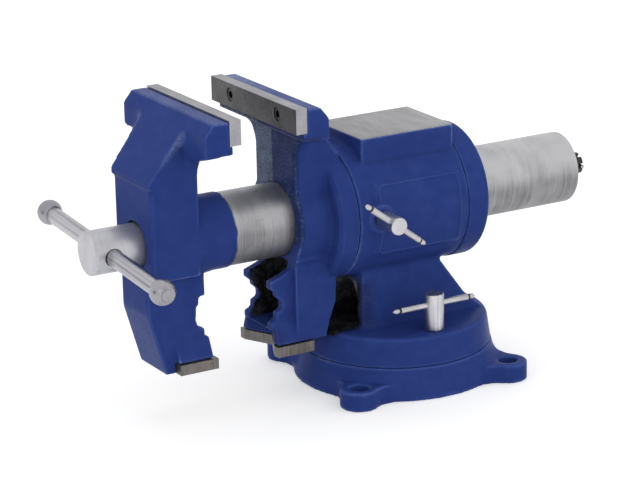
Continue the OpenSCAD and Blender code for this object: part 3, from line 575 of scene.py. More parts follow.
def neighbour_mean(values, edges):
    """Sum of values[j] over the edges i-j, divided by the number of those edges."""
    count = np.bincount(edges.ravel(), minlength=len(values))
    columns = values.reshape(len(values), -1).T
    total = [
        np.bincount(edges[:, 0], column[edges[:, 1]], len(values))
        + np.bincount(edges[:, 1], column[edges[:, 0]], len(values))
        for column in columns
    ]
    return (np.array(total) / np.maximum(count, 1)).T.reshape(values.shape)


def relax(points, edges, passes, weight):
    """p <- p + weight (mean of neighbours - p), passes times."""
    weight = np.asarray(weight).reshape((-1,) + (1,) * (points.ndim - 1))
    for _ in range(passes):
        points = points + weight * (neighbour_mean(points, edges) - points)
    return points


def spread(mask, edges, passes):
    """Lets a share run into the points around it."""
    for _ in range(passes):
        mask = np.maximum(mask, neighbour_mean(mask, edges))
    return mask


def bend_of(mesh, points, edges, passes):
    """How far relaxing would pull each point inwards, in mm.

    It is above 0 on an outer edge and below 0 in a hollow.
    """
    normals = rows_of(mesh.vertices, "normal", 3)
    return -np.einsum("ij,ij->i", relax(points, edges, passes, 0.5) - points, normals)


def rounded(mesh, held, round_passes, fillet_passes):
    """Points of the mesh after every edge is eased and every hollow filled a little.

    Held points move a tenth as far at the edges, and not at all in the hollows.
    """
    edges = edges_of(mesh)
    points = relax(points_of(mesh), edges, round_passes, 0.5 * (1 - 0.9 * held))
    set_points(mesh, points)
    bend = bend_of(mesh, points, edges, 6)
    hollow, sharp = rise(-bend, *FILLET_BEND), rise(bend, *SHARP_BEND)
    soft = relax(spread(hollow, edges, 3), edges, 4, 0.5) * (1 - sharp)
    return relax(points, edges, fillet_passes, 0.5 * soft * (1 - held))


print("relaxing ready")


# %% Casting
MELT_PASSES = 120


def share_of(rule, points):
    """The rule's share at each point, from 0 to 1, and 0 where there is no rule."""
    return np.clip(rule(*points.T) * 1.0, 0, 1) if rule else np.zeros(len(points))


def with_turned_rest(mesh, shares, node, turned_from, grime):
    """The skin joined to the solid's own turned surface, which is bare all over."""
    rest = smooth(half(joined_copy(node), turned_from, True), 35)
    turned = {name: np.zeros(len(rest.vertices)) for name in shares}
    turned["bare"] += 1
    turned["grime"] += share_of(grime, points_of(rest))
    shares = {name: np.append(share, turned[name]) for name, share in shares.items()}
    return joined(mesh, rest), shares


def casting(
    node, body, hold=None, melt=None, true_up=None, turned_from=None, material=paint,
    skin=SKIN, round_passes=2, fillet_passes=26, **rules,
):
    """Cast skin of one solid.

    A rule gives a share for x, y and z in mm. hold keeps the surface as cut, melt lets it
    run together, and the rules named in MARKS tell the finish what is there. true_up puts
    points back on a true face. From the plane y = turned_from on, the solid's own turned
    surface is kept.
    """
    net = {"mode": "VOXEL", "voxel_size": skin * MM, "adaptivity": 0.0}
    mesh = with_modifier(joined_copy(node), "REMESH", **net)
    if turned_from is not None:
        mesh = half(mesh, turned_from, False)
    edges, held = edges_of(mesh), share_of(hold, points_of(mesh))
    points = rounded(mesh, held, round_passes, fillet_passes)
    if melt:
        points = relax(points, edges, MELT_PASSES, 0.5 * share_of(melt, points))
    if true_up:
        points = true_up(points)
    set_points(mesh, points)
    bend = bend_of(mesh, points, edges, 8)
    shares = {"edge": rise(bend, *EDGE_BEND), "hollow": rise(-bend, *HOLLOW_BEND)}
    for mark in MARKS:
        shares[mark] = share_of(rules.get(mark), points)
    mesh.shade_smooth()
    if turned_from is not None:
        mesh, shares = with_turned_rest(mesh, shares, node, turned_from, rules.get("grime"))
    for name, share in shares.items():
        write_attribute(mesh, name, share)
    placed(node + "_skin", mesh, material, body, "paint", node)
    mesh.calc_loop_triangles()
    print(node, "triangles:", len(mesh.loop_triangles))


# %% [markdown]
# ## The castings
# The housing's drum carries the anvil, whose top is ground bare, and stands on a pedestal
# with a hollow arch that was never painted. A rule for each finish says where it lies. The
# disc and the base meet in a seam that has to stay open a hair, because one turns on the
# other.


# %% Swivel housing
ANVIL_HALF, GROUND_DEPTH, ARCH_HALF = 32.1, 0.9, 21


def anvil_bare(x, y, z):
    """The top, and as far down its corners as the wheel reached."""
    return (abs(x) < ANVIL_HALF + GROUND_DEPTH) & (z > ANVIL_TOP - GROUND_DEPTH)


def anvil_hold(x, y, z):
    return rise(z, ANVIL_TOP - 4, ANVIL_TOP - 2)


def anvil_grime(x, y, z):
    """Darker all over, a little less towards the rear."""
    return 0.78 - 0.24 * rise(y, -40, 30)


def arch_inside(x, y, z):
    """1 in the hollow of the pedestal, painted dark as its shade. The shade fades out over
    the front of its walls and runs a little way onto its sides.
    """
    x = abs(x)
    hollow = (x < ARCH_HALF) & (y < 26)
    # Painted shade over the front of the walls and onto the sides beside the hollow.
    wall = fall(x, ARCH_HALF, 27) * fall(y, -40, -36)
    side_shade = 0.55 * fall(y, -46, -32) * rise(x, 26, 27) * rise(z, 47, 52)
    return most(hollow, wall, side_shade) * rise(z, 43, 44) * fall(z, 80, 86)


def arch_rubs(x, y, z):
    """Painted light: the upper part of the hollow, drawn in the paler grey of burnt sand."""
    return rise(z, 54, 64) * fall(z, 80, 84) * fall(abs(x), 18, ARCH_HALF - 0.1)


def housing_hold(x, y, z):
    """The anvil, and less firmly its shoulders and the drum's rear edge."""
    shoulder = fall(abs(abs(x) - ANVIL_HALF), 4, 7) * rise(z, AXIS_Z + 30, AXIS_Z + 34)
    rear = rise(y, housing_high[1] - 2, housing_high[1] - 1) * rise(z, 80, 84)
    return most(anvil_hold(x, y, z), 0.75 * shoulder, 0.9 * rear)


def above_seam(points):
    """Lifts the disc's foot off the base."""
    return np.maximum(points, (-np.inf, -np.inf, SEAM_Z + SEAM_GAP))


casting(
    "swivel_housing", "swivel", hold=housing_hold, true_up=above_seam, bare=anvil_bare,
    inside=arch_inside, rubs=arch_rubs, grime=anvil_grime,
)


# %% Base and rear flange
def below_seam(points):
    return np.minimum(points, (np.inf, np.inf, SEAM_Z - SEAM_GAP))


def ear_melt(x, y, z):
    """1 where the ears' upper edges run into the base."""
    r = np.hypot(x, y)
    return rise(r, 70, 74) * fall(r, 77, 81) * rise(z, 4, 8) * fall(z, 17, 21)


def flange_hold(x, y, z):
    """The face that lies against the drum."""
    return 0.8 * fall(y, flange_low[1] + 1, flange_low[1] + 2)


casting("base_plate", "base", melt=ear_melt, true_up=below_seam, fillet_passes=60)
casting(
    "rear_flange", "head", hold=flange_hold, skin=FINE_SKIN, round_passes=5, fillet_passes=6
)

# %% [markdown]
# ### Jaws
# Both jaws have a plain bar above the tube and a toothed hollow below it. The bar runs into
# its column in a wide sweep, which takes many passes of relaxing, while the crests of the
# teeth are held back from it.

# %% Shared by both jaws
GRIP_Y, MOVING_Y = -118.9, -163.3  # gripping faces of the fixed and the moving jaw


def throat_inside(front, back):
    """1 in the hollow between the toothed walls, from the plane front to the plane back."""

    # The hollow of the throat is painted near black as its shade.
    def rule(x, y, z):
        return (abs(x) < 14.8) & (y > front) & (y < back) & (z > 59.5) & (z < 108)

    return rule


def teeth_hold(front, back):
    """Holds the toothed edges a little, so that the crests stay."""

    def rule(x, y, z):
        return 0.6 * rise(y, front - 1, front) * fall(y, back, back + 1) * fall(z, 100, 104)

    return rule


def jaw_melt(grip_y, away):
    """1 along the lower rear edge of the bar, and 0 at its ends.

    away is 1 or -1, the way along Y from the gripping face to the back of the bar.
    """

    def rule(x, y, z):
        x, behind, z = abs(x), away * (y - grip_y), z - AXIS_Z
        across = rise(x, 32.5, 36) * fall(x, 51, 59)
        return across * rise(behind, 17, 22) * rise(z, 50, 57) * fall(z, 82, 90)

    return rule


def jaw_top(z):
    return rise(z, AXIS_Z + 96.4, AXIS_Z + 97.0)


# %% Fixed jaw
def fixed_coarse(x, y, z):
    """The column's face towards the moving jaw was left as it came out of the sand."""
    front = fall(y, -99.5, -98) * (0.42 + 0.58 * fall(x, -4.6, -3.2))
    face = front * rise(z, 120, 128) * fall(z, 211, 214)
    floor = 0.22 * fall(y, -114, -106) * fall(z, 56, 64)
    return most(face, floor)


def fixed_rubs(x, y, z):
    """Painted sky reflection on the jaw's top, most at its far end and along the back of its
    plate.
    """
    far, beside = fall(x, -62, -5), fall(y, -115, -112.5)
    return jaw_top(z) * np.clip(0.3 + 0.7 * far + 0.4 * beside, 0, 1)


casting(
    "fixed_jaw", "head", hold=teeth_hold(GRIP_Y - 2, GRIP_Y + 12), melt=jaw_melt(GRIP_Y, 1),
    inside=throat_inside(GRIP_Y + 2, GRIP_Y + 28), coarse=fixed_coarse, rubs=fixed_rubs,
    turned_from=-57, skin=FINE_SKIN, fillet_passes=38,
)

# %% [markdown]
# ### Moving jaw and slide tube
# The tube is steel pressed into the moving jaw. The paint runs out over it in an uneven
# edge just past the collar, and from there on the tube keeps its turned face.

# %% Tube
COLLAR_END = -149.5


def ripple(x, y, z, size=7.0):
    """Mean of three bent sine waves, from -1 to 1, for an edge that a brush left uneven."""
    x, y, z = x / size, y / size, z / size
    along_x = np.sin(x * 2.1 + 1.3 * np.sin(z * 1.7))
    along_z = np.sin(z * 2.9 + 0.7 + np.sin(x * 3.1))
    return (along_x + along_z + np.sin(y)) / 3


def slide_bare(x, y, z):
    return (off_axis(x, z) < TUBE_R + 0.7) & (y > COLLAR_END + 1.8 * ripple(x, y, z))


# Painted shade on the tube, below its axis and between the jaws.
def slide_grime(x, y, z):
    """Painted shade and dark reflections: the tube is darker below, and darkest under the
    jaws.
    """
    z = z - AXIS_Z
    low = 0.02 + 0.84 * fall(z, -2, 15)
    under_jaws = 0.24 + 0.30 * fall(z, -22, -8) + 0.1 * rise(z, 4, 10)
    return low + under_jaws * fall(y, -90, -60)


def slide_true(points):
    """Moves points near the tube exactly onto it, just behind the collar."""
    x, y, z = points.T
    r = off_axis(x, z)
    near = (abs(r - TUBE_R) < 0.7) & (y > COLLAR_END) & (y < COLLAR_END + 9)
    scale = np.where(near, TUBE_R / np.maximum(r, 0.001), 1.0)
    return np.column_stack([x * scale, y, (z - AXIS_Z) * scale + AXIS_Z])


# %% Moving jaw
RIDGE_FOOT, RIDGE_TOP = np.array([31.5, -218.0, 58.0]), np.array([33.0, -194.0, 84.0])


def prow_rubs(x, y, z):
    """A painted highlight, with some wear, along the prow's two ridges.

    A ridge is the straight line from RIDGE_FOOT to RIDGE_TOP, measured from the slide
    axis, and the highlight fades out with the distance from it.
    """
    from_foot = np.column_stack([abs(x), y, z - AXIS_Z]) - RIDGE_FOOT
    way = RIDGE_TOP - RIDGE_FOOT
    along = np.clip(from_foot @ way / (way @ way), 0, 1)
    away = np.linalg.norm(from_foot - along[:, None] * way, axis=1)
    return 0.5 * fall(away, 1.0, 5.0) * rise(along, 0.15, 0.5)


def moving_rubs(x, y, z):
    """Painted reflection on the jaw's top, painted light from the floor on the sloping
    front of its lower arm, and the highlight on the prow's ridges.
    """
    front = 0.16 * fall(y, -196, -190) * fall(z, 84, 92) * fall(abs(x), 19, 20.4)
    return most(0.32 * jaw_top(z), front, prow_rubs(x, y, z))


def moving_inside(x, y, z):
    """The throat, painted dark as its shade, and a dark ring of painted shade in the gap
    where the hub turns in the jaw.
    """
    ring = 0.8 * fall(off_axis(x, z), 17.2, 18.6) * fall(y, -217, -216)
    return most(throat_inside(MOVING_Y - 34, MOVING_Y - 2)(x, y, z), ring)


def moving_hold(x, y, z):
    tube = rise(y, COLLAR_END - 2, COLLAR_END)
    return most(tube, teeth_hold(MOVING_Y - 26, MOVING_Y)(x, y, z))


casting(
    "moving_jaw", "slide", hold=moving_hold, melt=jaw_melt(MOVING_Y, -1), true_up=slide_true,
    bare=slide_bare, inside=moving_inside, rubs=moving_rubs, grime=slide_grime,
    turned_from=COLLAR_END + 4, material=paint_slide, skin=FINE_SKIN, fillet_passes=38,
)

# %% [markdown]
# ## Panel rims
# On either side the drum has a raised panel, left bare. A low rim runs around it, a
# half-round bead that follows the drum's curve.


# %% Panel rims
def rounded_rectangle(half_width, front, rear, corner, spacing):
    """Points along a rectangle with round corners, about a spacing apart.

    Each corner is a quarter of a circle, centre + corner (cos t, sin t), and every stretch
    between two of its points is cut into even steps.
    """
    turns = np.radians(np.arange(0, 90, 11.25))
    arcs = []
    for u, v, start in (
        (half_width, rear, 0), (-half_width, rear, 90),
        (-half_width, front, 180), (half_width, front, 270),
    ):
        centre = (u - math.copysign(corner, u), v - math.copysign(corner, v))
        angle = turns + math.radians(start)
        arcs.append(centre + corner * np.column_stack([np.cos(angle), np.sin(angle)]))
    path = np.vstack(arcs)
    ahead = np.roll(path, -1, axis=0) - path
    steps = np.maximum(1, (np.linalg.norm(ahead, axis=1) / spacing).astype(int))
    share = np.concatenate([np.arange(count) / count for count in steps])
    return np.repeat(path, steps, axis=0) + np.repeat(ahead, steps, axis=0) * share[:, None]


def panel_rim(side, radius=52.1, bead=0.95, half_angle=29.5, front=-41.5, rear=27.2):
    """Tube p(s, t) of radius bead along a rounded rectangle laid on the drum.

    The path's point s is moved across itself by bead cos t and outwards by bead sin t, and
    its first coordinate is then wrapped round the drum as an angle.
    """
    half_width = math.radians(half_angle) * radius
    path = rounded_rectangle(half_width, front, rear, corner=4.0, spacing=1.5)
    ahead = np.roll(path, -1, axis=0) - np.roll(path, 1, axis=0)
    ahead /= np.linalg.norm(ahead, axis=1)[:, None]
    across = np.column_stack([-ahead[:, 1], ahead[:, 0]])
    t = np.linspace(0, 2 * np.pi, 12, endpoint=False)
    flat = path[:, None, :] + bead * np.cos(t)[None, :, None] * across[:, None, :]
    r = radius + bead * np.sin(t)[None, :]
    angle = flat[..., 0] / radius
    x, z = side * r * np.cos(angle), AXIS_Z + r * np.sin(angle)
    grid = np.stack([x, flat[..., 1], z], -1)
    index = np.arange(grid.shape[0] * grid.shape[1]).reshape(grid.shape[:2])
    down, right = np.roll(index, -1, axis=0), np.roll(index, -1, axis=1)
    faces = np.stack([index, down, np.roll(down, -1, axis=1), right], -1).reshape(-1, 4)
    return surface("rim", grid.reshape(-1, 3), faces.tolist())


# The rims are drawn worn and lit with a painted sheen all along.
RIM_WEAR_AND_SHEEN = 0.55
rims = joined(panel_rim(1), panel_rim(-1))
write_attribute(rims, "edge", np.full(len(rims.vertices), RIM_WEAR_AND_SHEEN))
rims.shade_smooth()
placed("panel_rims", rims, paint, "swivel", "paint")
print("panel rims:", len(rims.polygons), "faces")

# %% [markdown]
# ## Machined pieces
# Plates, screws and nuts have crisp corners with only a hair of a bevel, which catches a
# thin line of light. The copy of the solid keeps every hole. Small screws and hidden
# pieces keep the solid itself and only get their finish.


# %% Machined pieces
FACING = 0.8  # a face that is turned less than 37 degrees away from a direction


def machined(node, body, slot, material, bevel, face=None, facing=None):
    """The solid's own shape with a fine bevel along its sharp edges.

    Faces turned towards facing get the material face.
    """
    mesh = with_modifier(
        flattened(joined_copy(node)), "BEVEL", width=bevel * MM, segments=2,
        limit_method="ANGLE", angle_limit=math.radians(35), use_clamp_overlap=True,
        harden_normals=True,
    )
    mesh = with_modifier(mesh, "WEIGHTED_NORMAL", keep_sharp=True, mode="FACE_AREA")
    placed(node + "_finished", mesh, material, body, slot, node, second=face)
    if face:
        turned = rows_of(mesh.polygons, "normal", 3) @ np.array(facing, float)
        mesh.polygons.foreach_set("material_index", (turned > FACING).astype(np.int32))
        mesh.update()


for plate, body, facing in (
    ("fixed_jaw_plate", "head", (0, -1, 0)), ("moving_jaw_plate", "slide", (0, 1, 0)),
):
    machined(plate, body, "ground_steel", ground, 0.4, plate_face, facing)
for node, body, slot, material, bevel in (
    ("fixed_pipe_plate", "head", "raw_iron", raw, 0.5),
    ("moving_pipe_plate", "slide", "raw_iron", raw, 0.5),
    ("end_nut", "screw", "dark_steel", dark, 0.25),
    ("end_washer", "screw", "ground_steel", ground, 0.25),
    ("cotter_pin", "screw", "ground_steel", bright_x, 0.2),
    ("tube_end_plug", "slide", "raw_iron", raw, 0.3),
):
    machined(node, body, slot, material, bevel)
for node, material in (
    ("pivot_bolt", dark), ("pivot_washer", ground), ("pivot_nut", dark),
    ("near_base_lock_nut", dark), ("far_base_lock_nut", dark),
    ("fixed_plate_screws", dark), ("moving_plate_screws", dark),
    ("fixed_pipe_screws", dark), ("moving_pipe_screws", dark),
    ("rear_flange_screws", dark), ("spindle_nut", raw), ("spindle_nut_screw", dark),
    ("thrust_washer", bronze), ("head_lock_shoe", bronze),
):
    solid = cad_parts[node]
    solid.data.materials.clear()
    solid.data.materials.append(material)
print("machined pieces ready")

# %% [markdown]
# ## Turned pieces
# The spindle's hub, the handle and the lock screws come off a lathe, so each is a profile
# spun about its axis. The profile is a list of radius and distance along the axis.

# %% Lathe
UP_Z, ALONG_SLIDE, OUT_X = (0, 0, 1), (0, 1, 0), (1, 0, 0)


def basis(direction):
    """Two unit vectors across a direction, and the direction itself."""
    d = np.array(direction, float)
    d /= np.linalg.norm(d)
    a = np.cross(d, [0.0, 0.0, 1.0] if abs(d[2]) < 0.9 else [1.0, 0.0, 0.0])
    a /= np.linalg.norm(a)
    return a, np.cross(d, a), d


def quads_around(index):
    """Faces between the rows of a grid of points whose last column meets its first."""
    after = np.roll(index, -1, axis=1)
    return np.stack([index[:-1], after[:-1], after[1:], index[1:]], -1).reshape(-1, 4)


def lathe(profile, origin, direction, around=72):
    """Surface p(s, t) = origin + z(s) d + r(s) (cos t a + sin t b).

    a, b and d are the basis of the direction. The profile starts and ends on the axis,
    where r is 0, so both ends are closed.
    """
    a, b, d = basis(direction)
    profile = np.array(profile, float)
    ring = np.linspace(0, 2 * np.pi, around, endpoint=False)
    round_part = np.cos(ring)[:, None] * a + np.sin(ring)[:, None] * b
    inner = profile[1:-1]
    grid = origin + inner[:, None, 1, None] * d + inner[:, None, 0, None] * round_part
    tips = [origin + profile[0, 1] * d, origin + profile[-1, 1] * d]
    points = np.vstack([grid.reshape(-1, 3), tips])
    index = np.arange(len(inner) * around).reshape(-1, around)
    first, last = np.full(around, index.size), np.full(around, index.size + 1)
    near_cap = np.column_stack([first, np.roll(index[0], -1), index[0]])
    far_cap = np.column_stack([last, index[-1], np.roll(index[-1], -1)])
    caps = np.stack([near_cap, far_cap], 1).reshape(-1, 3)
    return surface("lathe", points, quads_around(index).tolist() + caps.tolist())


def rod_corners(radius, start, end):
    """Profile of a plain rod."""
    return [(0, start), (radius, start), (radius, end), (0, end)]


def eased(corners, radius, steps=3):
    """The profile with each inner corner cut round by that radius in mm."""
    corners = [np.array(corner, float) for corner in corners]
    out = [corners[0]]
    for before, here, after in zip(corners, corners[1:], corners[2:]):
        back, on = before - here, after - here
        reach = min(radius, 0.45 * np.linalg.norm(back), 0.45 * np.linalg.norm(on))
        start = here + back / np.linalg.norm(back) * reach
        end = here + on / np.linalg.norm(on) * reach
        for s in np.linspace(0, 1, steps + 1):
            out.append((1 - s) ** 2 * start + 2 * s * (1 - s) * here + s**2 * end)
    return out + [corners[-1]]


def bored(mesh, start, end, radius, mouth=0.0, depth=0.0):
    """The mesh with a round hole, opened out by mouth over depth at both ends."""
    length, wide = np.linalg.norm(end - start), radius + mouth
    profile = rod_corners(radius, 0, length)
    if mouth:
        opened = [(wide, 0), (radius, depth), (radius, length - depth), (wide, length)]
        profile = [(0, 0)] + opened + [(0, length)]
    drill = bpy.data.objects.new("drill", lathe(profile, start, end - start, 48))
    bpy.context.scene.collection.objects.link(drill)
    drill.hide_render = True
    cut = {"operation": "DIFFERENCE", "object": drill, "solver": "EXACT"}
    result = with_modifier(mesh, "BOOLEAN", **cut)
    bpy.data.objects.remove(drill)
    return result


print("lathe ready")

# %% [markdown]
# ### Handle
# The bar slides through the hub and is stopped by a ball at each end. The ball's outer end
# is turned flat with a shallow dish.

# %% Handle
bar_low, bar_high = box_mm("handle_bar")
HANDLE_AXIS = np.array([math.cos(HANDLE_TILT), 0.0, -math.sin(HANDLE_TILT)])
HANDLE_MID = np.array([0.0, (bar_low[1] + bar_high[1]) / 2, AXIS_Z])
HANDLE_HALF = 181 / 2
BALL_R, BAR_R = 18.8 / 2, 12.5 / 2


def ball_profile():
    """Rings of one ball end: the sphere from the bar to its flat, then a rim and a dish.

    The sphere is r(t) = R sin t and z(t) = middle - R cos t, with t in degrees from 44 at
    the bar to 136 at the flat.
    """
    turns = np.radians(np.linspace(44, 136, 34))
    arc = [(BALL_R * math.sin(t), HANDLE_HALF - BALL_R * math.cos(t)) for t in turns]
    end = arc[-1][1] + 1.0
    rim = [(6.1, end - 0.35), (5.7, end), (5.2, end), (4.8, end - 0.4)]
    dish = [(4.2, end - 0.9), (2.0, end - 1.25), (0, end - 1.3)]
    return [(0, arc[0][1])] + arc + rim + dish


bar = eased(rod_corners(BAR_R, -HANDLE_HALF, HANDLE_HALF), 0.8)
bar = lathe(bar, HANDLE_MID, HANDLE_AXIS)
placed("handle_rod", smooth(bar), bright_x, "handle", "bright_steel", "handle_bar")
balls = joined(*(lathe(ball_profile(), HANDLE_MID, way * HANDLE_AXIS) for way in (1, -1)))
placed(
    "handle_balls", smooth(balls, 50), bright_ball, "handle", "bright_steel", "handle_ends"
)
print("handle ready,", 2 * HANDLE_HALF, "mm between the middles of its balls")

# %% [markdown]
# ### Spindle
# The hub is turned bright, with eased edges and a cross hole that is opened out at both
# ends. Behind it the screw runs through the tube. Its thread is a true helix: the
# radius depends on the distance along the axis and on the angle together.

# %% Thread
CORE_R = 0.2


def threaded(start, end, crest, root, pitch, around=36, rows_per_turn=8):
    """Screw r(s, t) = root + (crest - root) w.

    w is a flat-topped wave of s / pitch - t / 2 pi. Both ends run down to the root, and a
    thin core closes them.
    """
    rows = int((end - start) / pitch * rows_per_turn) + 1
    turns = np.arange(around) * 2 * np.pi / around
    s, t = np.meshgrid(np.linspace(start, end, rows), turns, indexing="ij")
    phase = (s / pitch - t / (2 * np.pi)) % 1
    wave = np.clip(2.5 - 6 * abs(phase - 0.5), 0, 1)
    fade = np.clip(np.minimum(s - start, end - s) / pitch, 0, 1)
    r = root + (crest - root) * wave * fade
    grid = np.stack([r * np.cos(t), s, AXIS_Z + r * np.sin(t)], -1)
    core = np.stack([CORE_R * np.cos(t), s, AXIS_Z + CORE_R * np.sin(t)], -1)
    points = np.vstack([grid.reshape(-1, 3), core[0], core[-1]])
    index = np.arange(rows * around).reshape(rows, around)
    faces = quads_around(index).tolist()
    first = rows * around + np.arange(around)
    for ring, cap in ((index[0], first), (index[-1], first + around)):
        faces += np.stack([ring, np.roll(ring, -1), np.roll(cap, -1), cap], -1).tolist()
        faces.append(cap.tolist())
    return surface("thread", points, faces)


# %% Spindle
hub_low, hub_high = box_mm("spindle")
_, tube_high = box_mm("moving_jaw")
HUB_R, SHANK_R, TAIL_R, BORE_R = 16.35, 11, 6.95, 6.3
HUB_FRONT, HUB_REAR, SHANK_END = hub_low[1], -211.8, -173.3
SCREW_END, TIP = tube_high[1] - 15, hub_high[1]
TAIL_START, TAIL_END = SCREW_END - 2, SCREW_END + 14.9
AXIS_POINT = np.array([0, 0, AXIS_Z])

hub_corners = [
    (0, HUB_FRONT), (HUB_R, HUB_FRONT), (HUB_R, HUB_REAR), (SHANK_R, HUB_REAR),
    (SHANK_R, SHANK_END), (0, SHANK_END),
]
hub = lathe(eased(hub_corners, 1.0), AXIS_POINT, ALONG_SLIDE, 96)
reach = HANDLE_AXIS * 18.5  # past the hub's wall on either side
hub = bored(hub, HANDLE_MID - reach, HANDLE_MID + reach, BORE_R, mouth=1.7, depth=4.0)
screw = threaded(SHANK_END - 1, SCREW_END, crest=9.98, root=8.0, pitch=5.0)
tail = eased(rod_corners(TAIL_R, TAIL_START, TAIL_END), 0.4)
tail = lathe(tail, AXIS_POINT, ALONG_SLIDE, 48)
end_thread = threaded(
    SCREW_END + 13, TIP, crest=5.98, root=5.1, pitch=1.75, around=32, rows_per_turn=6
)
spindle = joined(hub, screw, tail, end_thread)
placed("spindle_turned", smooth(spindle, 35), bright_y, "screw", "bright_steel", "spindle")
print("spindle ready,", round(TIP - HUB_FRONT, 1), "mm long")

# %% [markdown]
# ### Lock screws
# Each lock is a round head with a loose bar through it. The bar's ends are turned down to
# a neck behind a small nub, and the neck is drawn darker.


# %% Locks
ROD_R, ROD_HOLE_R = 2.5, 2.55
NECK_R, NECK_MIDDLE, NECK_REACH = 1.4, 5.65, 0.8  # its middle is measured from the tip
SCREW_R, POINT_R, POINT_LENGTH = 5, 4.6, 0.6
OVERLAP = 0.5  # the shank runs that far into the head


def lock_bar(length, centre, direction):
    """A bar with a neck and a nub at each end. Its mark groove is 1 around the neck."""
    h = length / 2
    neck = [(ROD_R, h - 6.5), (NECK_R, h - 6.3), (NECK_R, h - 5.0)]
    nub = [(2.05, h - 4.8), (2.15, h - 3.2), (1.9, h - 1.6), (0.76, h)]
    end = neck + nub
    other_end = [(r, -z) for r, z in end[::-1]]
    profile = [(0, -h)] + other_end + [(ROD_R, 0)] + end + [(0, h)]
    mesh = lathe(eased(profile, 0.35, 2), centre, direction, 40)
    along = abs((points_of(mesh) - centre) @ basis(direction)[2])
    write_attribute(mesh, "groove", abs(along - (h - NECK_MIDDLE)) < NECK_REACH)
    return smooth(mesh, 28)


def lock_screw(foot, direction, bar_at, bar_direction, radius, height, depth):
    """Head with its cross hole, standing on its foot, and the shank that deep below it."""
    head = lathe(eased(rod_corners(radius, 0, height), 1.1, 4), foot, direction, 64)
    far = 2 * radius * np.array(bar_direction)
    head = bored(head, bar_at - far, bar_at + far, ROD_HOLE_R)
    point = [(0, -depth), (POINT_R, -depth), (SCREW_R, POINT_LENGTH - depth)]
    shank = lathe(point + [(SCREW_R, OVERLAP), (0, OVERLAP)], foot, direction, 48)
    return smooth(joined(head, shank))


# %% Base locks
BASE_BOSS_Z = housing_low[2] + 22.35
for label in ("near", "far"):
    screw_low, screw_high = box_mm(label + "_base_lock_screw")
    bar_low, bar_high = box_mm(label + "_base_lock_bar")
    x = (screw_low[0] + screw_high[0]) / 2
    foot = np.array([x, 0.0, BASE_BOSS_Z])
    centre = np.array([x, 0.0, (bar_low[2] + bar_high[2]) / 2])
    head = lock_screw(foot, UP_Z, centre, ALONG_SLIDE, radius=7.4, height=28.5, depth=42)
    placed(
        label + "_base_lock_head", head, bright_z,
        label + "_base_lock", "bright_steel", label + "_base_lock_screw",
    )
    placed(
        label + "_base_lock_rod", lock_bar(72, centre, ALONG_SLIDE), bright_lock,
        label + "_base_bar", "bright_steel", label + "_base_lock_bar",
    )
print("base locks ready")

# %% Head lock
HEAD_BOSS_X, LEVER_TILT = 55.55, math.radians(36.8)
lever_axis = np.array([0.0, math.cos(LEVER_TILT), -math.sin(LEVER_TILT)])
bar_low, bar_high = box_mm("head_lock_bar")
centre = (bar_low + bar_high) / 2
foot = np.array([HEAD_BOSS_X, centre[1], centre[2]])
head = lock_screw(foot, OUT_X, centre, lever_axis, radius=6.7, height=22, depth=13)
placed("head_lock_head", head, bright_lock, "head_lock", "bright_steel", "head_lock_screw")
placed(
    "head_lock_rod", lock_bar(63, centre, lever_axis), bright_lock,
    "head_lock_lever", "bright_steel", "head_lock_bar",
)
print("head lock ready")

# %% [markdown]
# ## Floor and sky
# A pale floor and a soft sky stand at about a colour's own level. Where the camera sees
# them, or metal mirrors them, they are as white as the picture's background.


# %% Floor and sky
def card(name, material, centre, across, up, width, height):
    """A flat rectangle of the studio, not of the vise."""
    centre, across, up = (np.array(v, float) for v in (centre, across, up))
    right, above = across * width / 2, up * height / 2
    corners = [centre - right - above, centre + right - above]
    corners += [centre + right + above, centre - right + above]
    mesh = bpy.data.meshes.new(name)
    mesh.from_pydata([corner.tolist() for corner in corners], [], [[0, 1, 2, 3]])
    mesh.materials.append(material)
    obj = bpy.data.objects.new(name, mesh)
    bpy.context.scene.collection.objects.link(obj)
    return obj


WHITE = rgb(1.0, 1.0, 1.0)
floor = new_finish("studio_floor")
floor_paint = floor.finish(
    {
        "Base Color": rgb(0.80, 0.80, 0.80),
        "Roughness": 0.9,
        "Specular IOR Level": 0.0,
        "Emission Color": WHITE,
        "Emission Strength": floor.seen_straight() * 0.38,
    }
)
FLOOR_Z, FLOOR_SIDE = -0.0002, 12.0  # metres; a hair below the ears, so that they cover it
card("floor", floor_paint, (0, 0, FLOOR_Z), OUT_X, ALONG_SLIDE, FLOOR_SIDE, FLOOR_SIDE)

world = bpy.data.worlds.new("sky")
bpy.context.scene.world = world
sky = Recipe(world)
light = {"Color": WHITE, "Strength": sky.seen_straight() * 0.05 + 0.95}
glow = sky.value("ShaderNodeBackground", "Background", None, light)
sky.node("ShaderNodeOutputWorld", None, {"Surface": glow})
print("floor and sky ready")

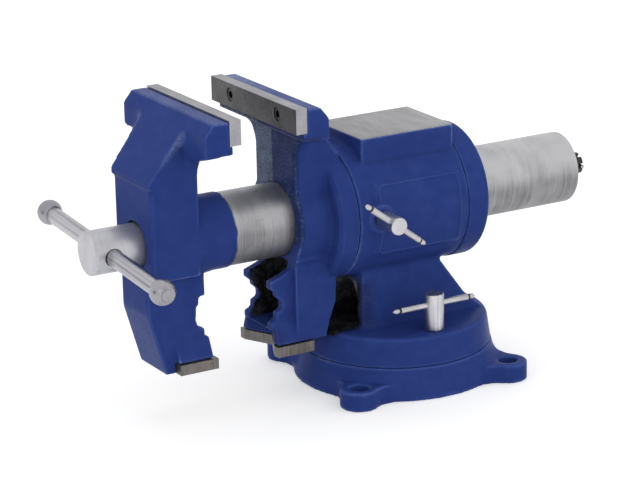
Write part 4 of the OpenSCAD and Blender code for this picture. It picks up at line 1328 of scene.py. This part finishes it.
# %% [markdown]
# ## Lamps and cards
# One wide lamp stands high at the camera's left and a weaker one at its right. Dark cards
# outside the picture give the bright steel something to reflect besides white, and
# nothing else sees them.


# %% Lamps and cards
def lamp(name, place, target, size, watts):
    data = bpy.data.lights.new(name, "AREA")
    data.shape, data.size, data.energy = "SQUARE", size, watts
    obj = bpy.data.objects.new(name, data)
    obj.location = place
    way = Vector(target) - Vector(place)
    obj.rotation_euler = way.to_track_quat("-Z", "Y").to_euler()
    bpy.context.scene.collection.objects.link(obj)


lamp("key", (1.5, -1.5, 1.1), (0, -0.05, 0.12), size=1.0, watts=2.5)
lamp("fill", (1.6, 0.9, 0.5), (0, 0, 0.1), size=1.0, watts=1.5)
card_look = {"Base Color": rgb(0.02, 0.02, 0.022), "Roughness": 0.8}
card_paint = new_finish("dark_card").finish(card_look)
behind = card("dark_card_0", card_paint, (0.9, 1.5, 0.5), (1, 0.6, 0), UP_Z, 0.5, 1.4)
before = card("dark_card_1", card_paint, (-0.2, -1.7, 0.2), OUT_X, UP_Z, 0.7, 0.7)
for flag in (behind, before):
    flag.visible_camera = flag.visible_diffuse = flag.visible_shadow = False
print("two lamps, two dark cards")

# %% [markdown]
# ## Camera
# The camera stands where the photograph was taken, found from the vise's own straight
# edges and circles.

# %% Camera
EYE = Vector((1.70126897, -1.04902696, 0.71671345))
RIGHT = Vector((0.50609283, 0.86223675, -0.02044113))
UP = Vector((-0.24330018, 0.16546355, 0.95573366))
BACK = Vector((0.82745095, -0.47871663, 0.29352227))
camera_data = bpy.data.cameras.new("camera")
camera_data.sensor_width = 36.0
camera_data.lens = 154.80
camera_data.clip_end = 20.0
camera = bpy.data.objects.new("camera", camera_data)
turned = Matrix((RIGHT, UP, BACK)).transposed().to_4x4()
camera.matrix_world = Matrix.Translation(EYE) @ turned
bpy.context.scene.collection.objects.link(camera)
bpy.context.scene.camera = camera
bpy.context.scene.view_settings.view_transform = "Standard"
print("camera", round(EYE.length, 2), "m from the vise")
